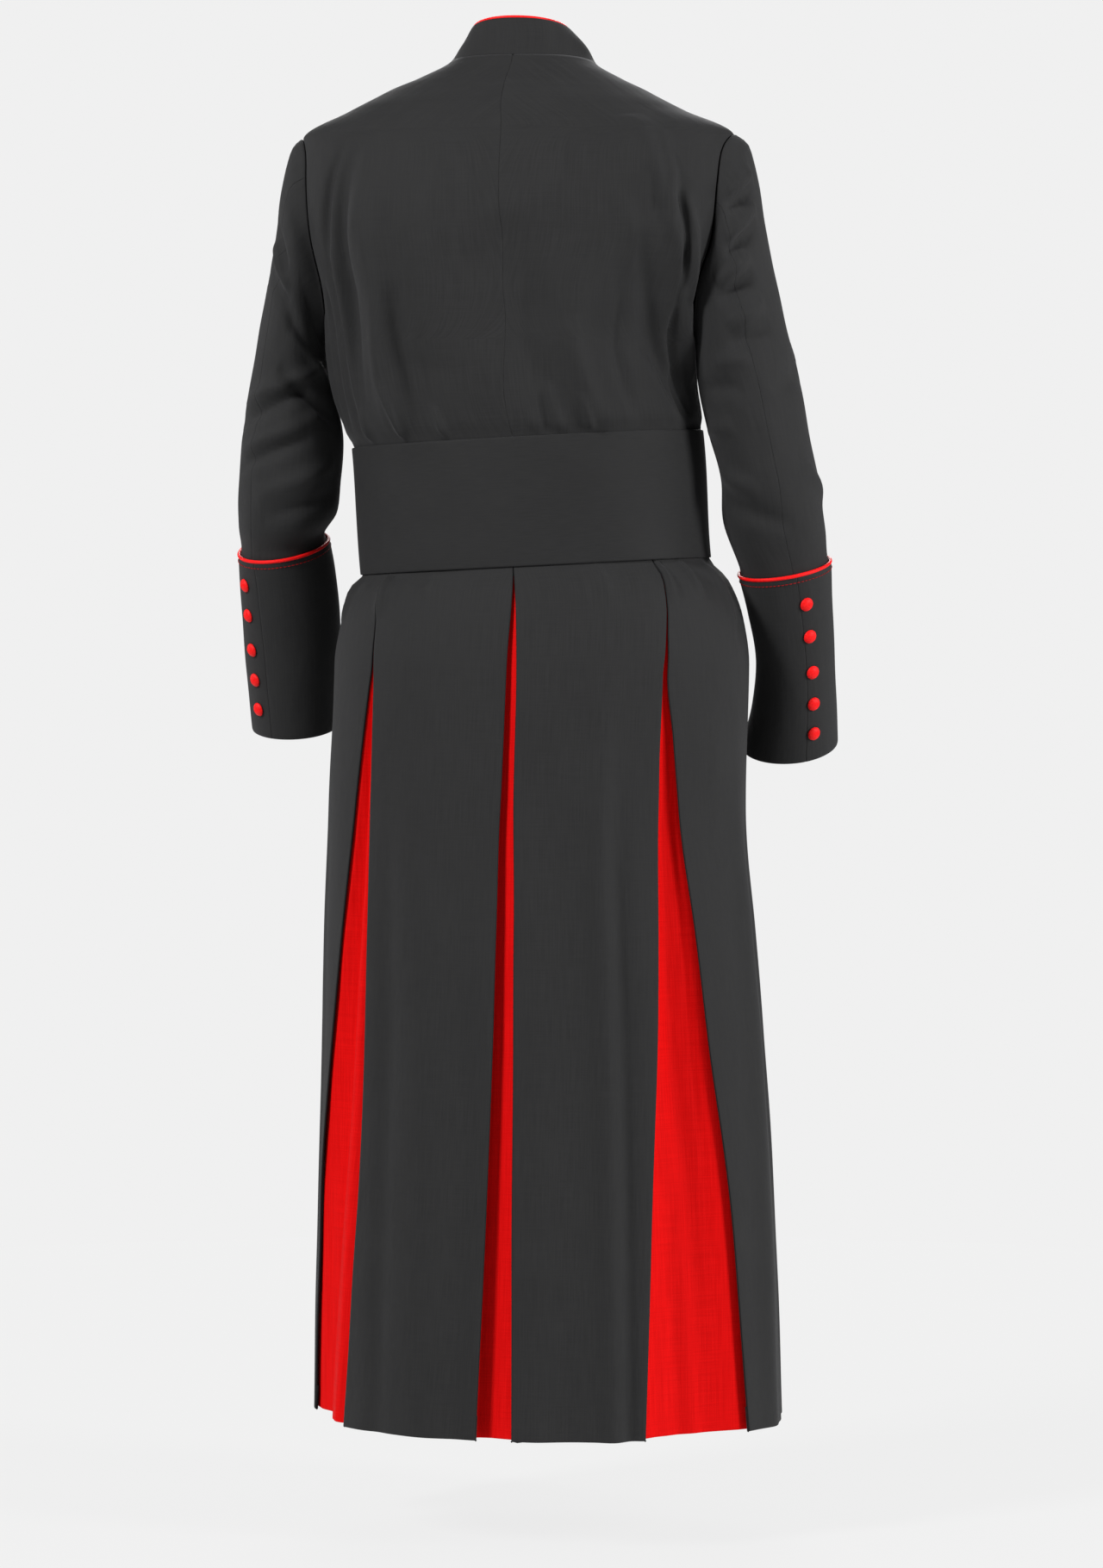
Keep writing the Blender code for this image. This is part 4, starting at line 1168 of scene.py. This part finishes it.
def make_skirt():
    places = (HEM, WAIST_SEAM)
    ends = (HEM_EDGE, RAW_EDGE)
    centre_right, centre_left = pleat_edges("pleat_centre")
    left_right, left_left = pleat_edges("pleat_left")
    right_right, right_left = pleat_edges("pleat_right")
    folded = FOLDED_EDGE
    panels = [
        ("skirt_back_left", centre_left, left_right, (folded, folded)),
        ("skirt_back_right", right_left, centre_right, (folded, folded)),
        ("skirt_side_left", left_left, lambda z: SKIRT_SIDE_SEAM, (folded, SEAM_EDGE)),
        ("skirt_side_right", lambda z: -SKIRT_SIDE_SEAM, right_right, (SEAM_EDGE, folded)),
        ("skirt_front_right", front_lap_right, lambda z: -SKIRT_SIDE_SEAM, (folded, SEAM_EDGE)),
    ]
    for name, right, left, edges in panels:
        grid = patch(Body, places, right, left, edges=edges, ends=ends, row_pitch=SKIRT_ROW_PITCH)
        cloth(f"cloth_{name}", [name], grid, CLOTH, charcoal)
    grid = patch(Body, places, lambda z: SKIRT_SIDE_SEAM, front_lap_left,
                 edges=(SEAM_EDGE, folded), ends=ends, row_pitch=SKIRT_ROW_PITCH, lift=lap_lift)
    buttons = front_buttons(HEM, BAND_FOOT)
    cloth("cloth_skirt_front_left", ["skirt_front_left"], grid, CLOTH, charcoal)


def make_pleat_inserts():
    """Each insert is tucked behind both edges of its pleat and sinks between them."""
    for name, table in PLEATS.items():
        right_edge, left_edge = pleat_edges(name)
        rows = sorted(table)
        sink_at = curve_through([row.z for row in rows], [row.sink for row in rows])
        shape = INSERT_SHAPES[name]
        shape_at = curve_through([place for place, _ in shape], [share for _, share in shape])

        def right(z):
            edge = right_edge(z)
            return edge - INSERT_TUCK / body_speed(edge, z)

        def left(z):
            edge = left_edge(z)
            return edge + INSERT_TUCK / body_speed(edge, z)

        def sink(angle, z):
            low, high = right_edge(z), left_edge(z)
            share = (angle - low) / np.maximum(high - low, 1e-4)
            wide = (angle - low) * body_speed(low, z)
            from_right = ease((angle - right(z)) / (low - right(z)))
            tuck = from_right * ease((left(z) - angle) / (left(z) - high))
            ripple = 0.7 * np.sin(wide / MM / 5.1 + z / MM / 400) + 0.5 * np.sin(wide / MM / 8.7 + 1.0)
            ripple = ripple * ease((-z / MM - 700) / 400)
            depth = shape_at(share) * sink_at(z / MM) * MM * (0.25 + 0.75 * tuck)
            return -(INSERT_DEPTH + depth) + ripple * MM * tuck

        places = (HEM + INSERT_SHORTER, INSERT_TOP)
        pitch, row_pitch = INSERT_PITCH
        grid = patch(Body, places, right, left, edges=(RAW_EDGE, RAW_EDGE), ends=(HEM_EDGE, RAW_EDGE),
                     pitch=pitch, row_pitch=row_pitch, lift=sink)
        cloth(f"cloth_{name}", [name], grid, CLOTH, insert_finish)


def make_collar():
    """A stand collar with a piped top edge, turned smoothly over at its foot and its top."""
    pitch, row_pitch = COLLAR_PITCH

    def end(sign):
        return lambda z: sign * (CENTRE_FRONT - COLLAR_FRONT_GAP / body_speed(CENTRE_FRONT, z))

    grid = patch(Body, (NECK_SEAM, COLLAR_TOP), end(-1), end(1), edges=(RAW_EDGE, RAW_EDGE),
                 ends=(COLLAR_FOOT_EDGE, COLLAR_TOP_EDGE), pitch=pitch, row_pitch=row_pitch, folds=False)
    rim = grid.points[-1]
    below = grid.points[-1 - len(COLLAR_TOP_EDGE)]
    up = unit(rim - below)
    inwards = unit(np.cross(unit(np.gradient(rim, axis=0)), up))
    path = rim + inwards * COLLAR_CLOTH / 2 + up * (PIPING_RADIUS - COLLAR_PIPING_SINK)
    piped = cord("cord_collar_piping", [path[1:-1]], PIPING_RADIUS, piping_finish,
                 nodes=["collar_piping"])
    cloth("cloth_collar", ["collar"], grid, COLLAR_CLOTH, charcoal)


def band_lift(angle, z):
    """How far the band stands off the body, further where it goes over the lap."""
    from_front = (CENTRE_FRONT - np.abs(angle)) * body_speed(CENTRE_FRONT, z) / BAND_LAP_REACH
    ease_front = ease(2 - from_front)
    wide = angle * BAND_MEAN_RADIUS
    wave = 0.35 * np.sin(wide / 37 + z / MM / 40) + 0.22 * np.sin(wide / 15 - z / MM / 25)
    return BAND_GAP + BAND_CLOTH + LAP_LIFT * ease_front + (wave + 0.35) * MM


def make_waist_band():
    """A plain wide band, its long edges turned in."""
    inner = np.linspace(BAND_FOOT + 5 * MM, BAND_TOP - 5 * MM, BAND_ROWS)
    levels = [BAND_FOOT + d * MM for d, _ in BAND_EDGE]
    levels += [*inner, *[BAND_TOP - d * MM for d, _ in reversed(BAND_EDGE)]]
    turned = [one for _, one in BAND_EDGE]
    lifts = [*turned, *np.zeros(BAND_ROWS), *reversed(turned)]
    turns = np.linspace(-math.pi, math.pi, BAND_COLUMNS, endpoint=False)
    columns = [(angle, 0.0, FAR) for angle in turns]
    grid = ring_patch(Body, levels, lifts, columns, lift=band_lift)
    cloth("cloth_waist_band", ["waist_band"], grid, BAND_CLOTH, band_finish)


# Sleeves and cuffs

def make_sleeves():
    for name, side in SIDES.items():
        sleeve = Sleeve(name)
        line = SLEEVE_LINES[name]
        foot = -sleeve.places[-1]
        pieces = [
            ("top", line.front_seam, line.back_seam),
            ("under", line.back_seam, line.front_seam + 360),
        ]
        for part, first, last in pieces:
            grid = patch(sleeve, (foot, 0.0), lambda v: math.radians(first), lambda v: math.radians(last),
                         edges=(FINE_SEAM, FINE_SEAM), ends=(PLAIN_END, SEAM_EDGE),
                         row_pitch=SLEEVE_ROW_PITCH)
            if side > 0:
                grid = Patch(grid.points[:, ::-1], grid.lifts[:, ::-1], grid.weave[:, ::-1],
                             grid.edge[:, ::-1], False)
            cloth(f"cloth_sleeve_{part}_{name}", [f"sleeve_{part}_{name}"], grid, CLOTH,
                  charcoal)
        make_cuff(name, sleeve)


def make_cuff(name, sleeve):
    """A turned-back cuff: rolled at its foot, piped and stitched along its upper edge."""
    face = CUFF_FACE / MM
    top = sleeve.section_place(CUFF_FIRST_SECTION)
    foot = sleeve.section_place(len(sleeve.sections) - 1)
    levels = [foot + d * MM for d, _ in CUFF_INSIDE + CUFF_ROLL]
    levels += [*np.linspace(foot + 5 * MM, top - 3 * MM, CUFF_ROWS), *[top - d * MM for d, _ in CUFF_RIM]]
    lifts = [one for _, one in CUFF_INSIDE] + [face + one for _, one in CUFF_ROLL]
    lifts += [face] * CUFF_ROWS + [face + one for _, one in CUFF_RIM]

    def wave(turn, place):
        return 0.35 * MM * np.sin(3 * turn + place / MM / 31) * np.sin(place / MM / 23)

    # The cuff's seam gets a thin line of painted shade, as a fine seam does.
    beside = [(d * MM / CUFF_RADIUS, down, 0.0 if d < PAINTED_SEAM_SHADE_REACH else FAR) for d, down in FINE_SEAM[1:]]
    turns = np.linspace(CUFF_SEAM_REACH, 2 * math.pi - CUFF_SEAM_REACH, CUFF_COLUMNS)
    round_it = [(angle, 0.0, FAR) for angle in turns]
    behind = [(2 * math.pi - angle, down, edge) for angle, down, edge in reversed(beside)]
    seam_top, seam_end = np.radians(CUFF_SEAMS[name])

    def seam(levels):
        return seam_top + (seam_end - seam_top) * np.clip((top - levels) / (top - foot), 0, 1)

    grid = ring_patch(sleeve, levels, lifts, [*beside, *round_it, *behind], start=seam, lift=wave)
    around = np.linspace(0, 2 * math.pi, PIPING_POINTS, endpoint=False)
    normal = sleeve.normal(around, top)
    path = sleeve.point(around, top) + normal * (CUFF_FACE - CUFF_PIPING_SINK)
    up = unit(sleeve.point(around, top + 2 * MM) - sleeve.point(around, top))
    path = path + up * CUFF_PIPING_RISE
    piped = cord(f"cord_cuff_piping_{name}", [path], PIPING_RADIUS, piping_finish,
                 nodes=[f"cuff_piping_{name}"], closed=True)
    sewn = cord(f"stitches_cuff_{name}", stitch_paths(sleeve, top - STITCH_PLACE), STITCH_RADIUS,
                stitch_finish, sides=6, squash=0.8)
    buttons = cuff_buttons(name, sleeve)
    cloth(f"cloth_cuff_{name}", [f"cuff_{name}"], grid, CUFF_CLOTH, charcoal)


def stitch_paths(sleeve, place):
    """A line of stitches that sinks into the cuff between them."""
    paths = []
    lift = CUFF_FACE + np.array(STITCH_LIFTS) * MM
    for i in range(STITCHES):
        turns = (i + np.linspace(*STITCH_SPAN, len(STITCH_LIFTS))) * 2 * math.pi / STITCHES
        paths.append(sleeve.point(turns, place) + sleeve.normal(turns, place) * lift[:, None])
    return paths


# Buttons

def button_mesh(name):
    """A domed button covered with cloth that is gathered in under its rim."""
    sides = BUTTON_SIDES
    turns = np.linspace(0, 2 * math.pi, sides, endpoint=False)
    points, maps = [], []
    for share, height in BUTTON_PROFILE:
        held = ease((share - GATHER_START) / GATHER_SPREAD)
        gather = 1 + GATHER_DEPTH * np.sin(turns * BUTTON_GATHERS) * held
        radius = share * BUTTON_RADIUS * gather
        points.append(np.stack([radius * np.cos(turns), radius * np.sin(turns),
                                np.full(sides, height * BUTTON_HEIGHT)], -1))
        maps.append(points[-1][:, :2])
    rings = len(points)
    flat = np.concatenate([*points, [[0, 0, BUTTON_HEIGHT], [0, 0, 0]]])
    places = np.concatenate([*maps, [[0, 0], [0, 0]]])
    faces = []
    for row in range(rings - 1):
        for i in range(sides):
            j = (i + 1) % sides
            faces.append((row * sides + i, (row + 1) * sides + i, (row + 1) * sides + j, row * sides + j))
    top, base = rings * sides, rings * sides + 1
    for i in range(sides):
        j = (i + 1) % sides
        faces.append((top, i, j))
        faces.append((base, (rings - 1) * sides + j, (rings - 1) * sides + i))
    return threaded_mesh(name, flat, faces, places)


def add_button(node, place, out, spin):
    mesh = button_mesh(f"covered_{node}")
    turn = Vector(out).to_track_quat("Z", "Y").to_matrix().to_4x4() @ Matrix.Rotation(spin, 4, "Z")
    mesh.transform(Matrix.Translation(Vector(place)) @ turn)
    piece = placed(f"covered_{node}", mesh)
    dress(piece, [node], button_finish)
    return piece


def cuff_buttons(name, sleeve):
    line = SLEEVE_LINES[name]
    made = []
    for i in range(CUFF_BUTTONS):
        share = i / (CUFF_BUTTONS - 1)
        turn = math.radians(line.first_button + (line.last_button - line.first_button) * share)
        along = CUFF_BUTTON_FIRST + (CUFF_BUTTON_LAST - CUFF_BUTTON_FIRST) * share
        place = sleeve.section_place(CUFF_FIRST_SECTION + along * CUFF_SPANS)
        out = sleeve.normal(np.array(turn), np.array(place))
        at = sleeve.point(np.array(turn), np.array(place)) + out * (CUFF_FACE + BUTTON_SEAT)
        made.append(add_button(f"cuff_button_{name}_{i + 1}", at, out, BUTTON_SPIN * i))
    return made


def front_button_levels():
    """The levels of the front buttons, left out where the waist band lies."""
    count = int((FRONT_BUTTON_TOP - FRONT_BUTTON_LOWEST) / FRONT_BUTTON_PITCH) + 1
    levels = [FRONT_BUTTON_TOP - i * FRONT_BUTTON_PITCH for i in range(count)]
    low = BAND_FOOT - 2 * BUTTON_RADIUS
    high = BAND_TOP + 2 * BUTTON_RADIUS
    return [z for z in levels if not low < z < high]


def front_buttons(low, high):
    """The front buttons between two levels, numbered from the top of the robe."""
    made = []
    for number, z in enumerate(front_button_levels(), 1):
        if low < z < high:
            angle, level = np.array(CENTRE_FRONT), np.array(z)
            out = body_normal(angle, level)
            lift = float(body_folds(angle, level)) + LAP_LIFT + BUTTON_SEAT
            place = body_point(angle, level) + out * lift
            made.append(add_button(f"front_button_{number:02d}", place, out, BUTTON_SPIN * number))
    return made


# Studio

# The camera stands this far round from straight behind, with its eye level with EYE_ROW of the
# photograph. PIXEL is a pixel's size at the robe, and AIM_SHIFT moves the view sideways.
YAW = math.radians(8.5)
DISTANCE = 6.0
PIXEL = 0.924 * MM
HALF_HEIGHT = 910
EYE_ROW = 640
AIM_SHIFT = 0.021
EYE_Z = -0.525

# The floor, and how bright the camera sees the backdrop and the cloth the surroundings
FLOOR_Z = -1.569
BACKDROP = 0.871
AMBIENT = 0.14
FLOOR_GLOW = 0.806
FLOOR_RADIUS = 2.5

# The lamps: where each stands, its width and height, and its power in watts. All aim at the robe.
Lamp = namedtuple("Lamp", "name place size power")
LAMPS = [
    Lamp("key", (2.5, 2.8, 1.7), (0.9, 1.3), 190),
    Lamp("right_side", (-4.1, 1.6, 0.6), (1.0, 2.2), 185),
    Lamp("left_rim", (4.2, -1.4, 0.4), (1.4, 2.4), 30),
    Lamp("right_rim", (-4.2, -1.2, 0.4), (1.4, 2.4), 45),
    Lamp("front_fill", (0.6, -4.4, 1.6), (2.4, 2.4), 150),
]
LAMP_AIM = (0, 0, -0.75)


def make_camera():
    lens = bpy.data.cameras.new("camera")
    camera = placed("camera", lens)
    right = (-math.cos(YAW), -math.sin(YAW))
    camera.location = (
        -math.sin(YAW) * DISTANCE + right[0] * AIM_SHIFT,
        math.cos(YAW) * DISTANCE + right[1] * AIM_SHIFT,
        EYE_Z,
    )
    pitch = math.atan((HALF_HEIGHT - EYE_ROW) * PIXEL / DISTANCE)
    camera.rotation_euler = (math.pi / 2 - pitch, 0, math.pi + YAW)
    lens.sensor_fit = "VERTICAL"
    lens.sensor_height = 36
    lens.angle_y = 2 * math.atan(HALF_HEIGHT * PIXEL / DISTANCE)
    bpy.context.scene.camera = camera


def make_floor():
    """A round pale floor, as bright as the backdrop, so that its rim hardly shows."""
    mesh = bpy.data.meshes.new("floor")
    sides = 96
    turns = np.linspace(0, 2 * math.pi, sides, endpoint=False)
    x, y = FLOOR_RADIUS * np.cos(turns), FLOOR_RADIUS * np.sin(turns)
    rim = np.stack([x, y, np.full(sides, FLOOR_Z)], -1)
    mesh.from_pydata(rim.tolist(), [], [tuple(range(sides))])
    floor = placed("floor", mesh)
    made = Finish("pale_floor")
    cloud = made.noise(made.node("ShaderNodeTexCoord", {}, {}, 3), scale=0.8)
    made.set(Base_Color=made.shades(cloud, (0.050, 0.050, 0.050), (0.055, 0.055, 0.055)))
    made.set(Roughness=0.9, Specular_IOR_Level=0.0)
    made.set(Emission_Color=(1, 1, 1, 1), Emission_Strength=FLOOR_GLOW)
    mesh.materials.append(made.material)


def add_lamp(lamp):
    data = bpy.data.lights.new(lamp.name, "AREA")
    data.shape = "RECTANGLE"
    data.size, data.size_y = lamp.size
    data.energy = lamp.power
    light = placed(lamp.name, data)
    light.location = lamp.place
    light.rotation_euler = (Vector(LAMP_AIM) - Vector(lamp.place)).to_track_quat("-Z", "Y").to_euler()


def make_light():
    """The camera sees a pale backdrop, and the cloth less of it than of the lamps."""
    world = bpy.data.worlds.new("pale_studio")
    world.use_nodes = True
    tree = world.node_tree
    seen = tree.nodes.new("ShaderNodeLightPath")
    level = tree.nodes.new("ShaderNodeMapRange")
    level.inputs["To Min"].default_value = AMBIENT
    level.inputs["To Max"].default_value = BACKDROP
    tree.links.new(seen.outputs["Is Camera Ray"], level.inputs["Value"])
    tree.links.new(level.outputs["Result"], tree.nodes["Background"].inputs["Strength"])
    tree.nodes["Background"].inputs["Color"].default_value = (1, 1, 1, 1)
    bpy.context.scene.world = world
    bpy.context.scene.view_settings.view_transform = "Standard"
    for lamp in LAMPS:
        add_lamp(lamp)


make_camera()
make_floor()
make_light()
make_bodice()
make_skirt()
make_pleat_inserts()
make_collar()
make_waist_band()
make_sleeves()
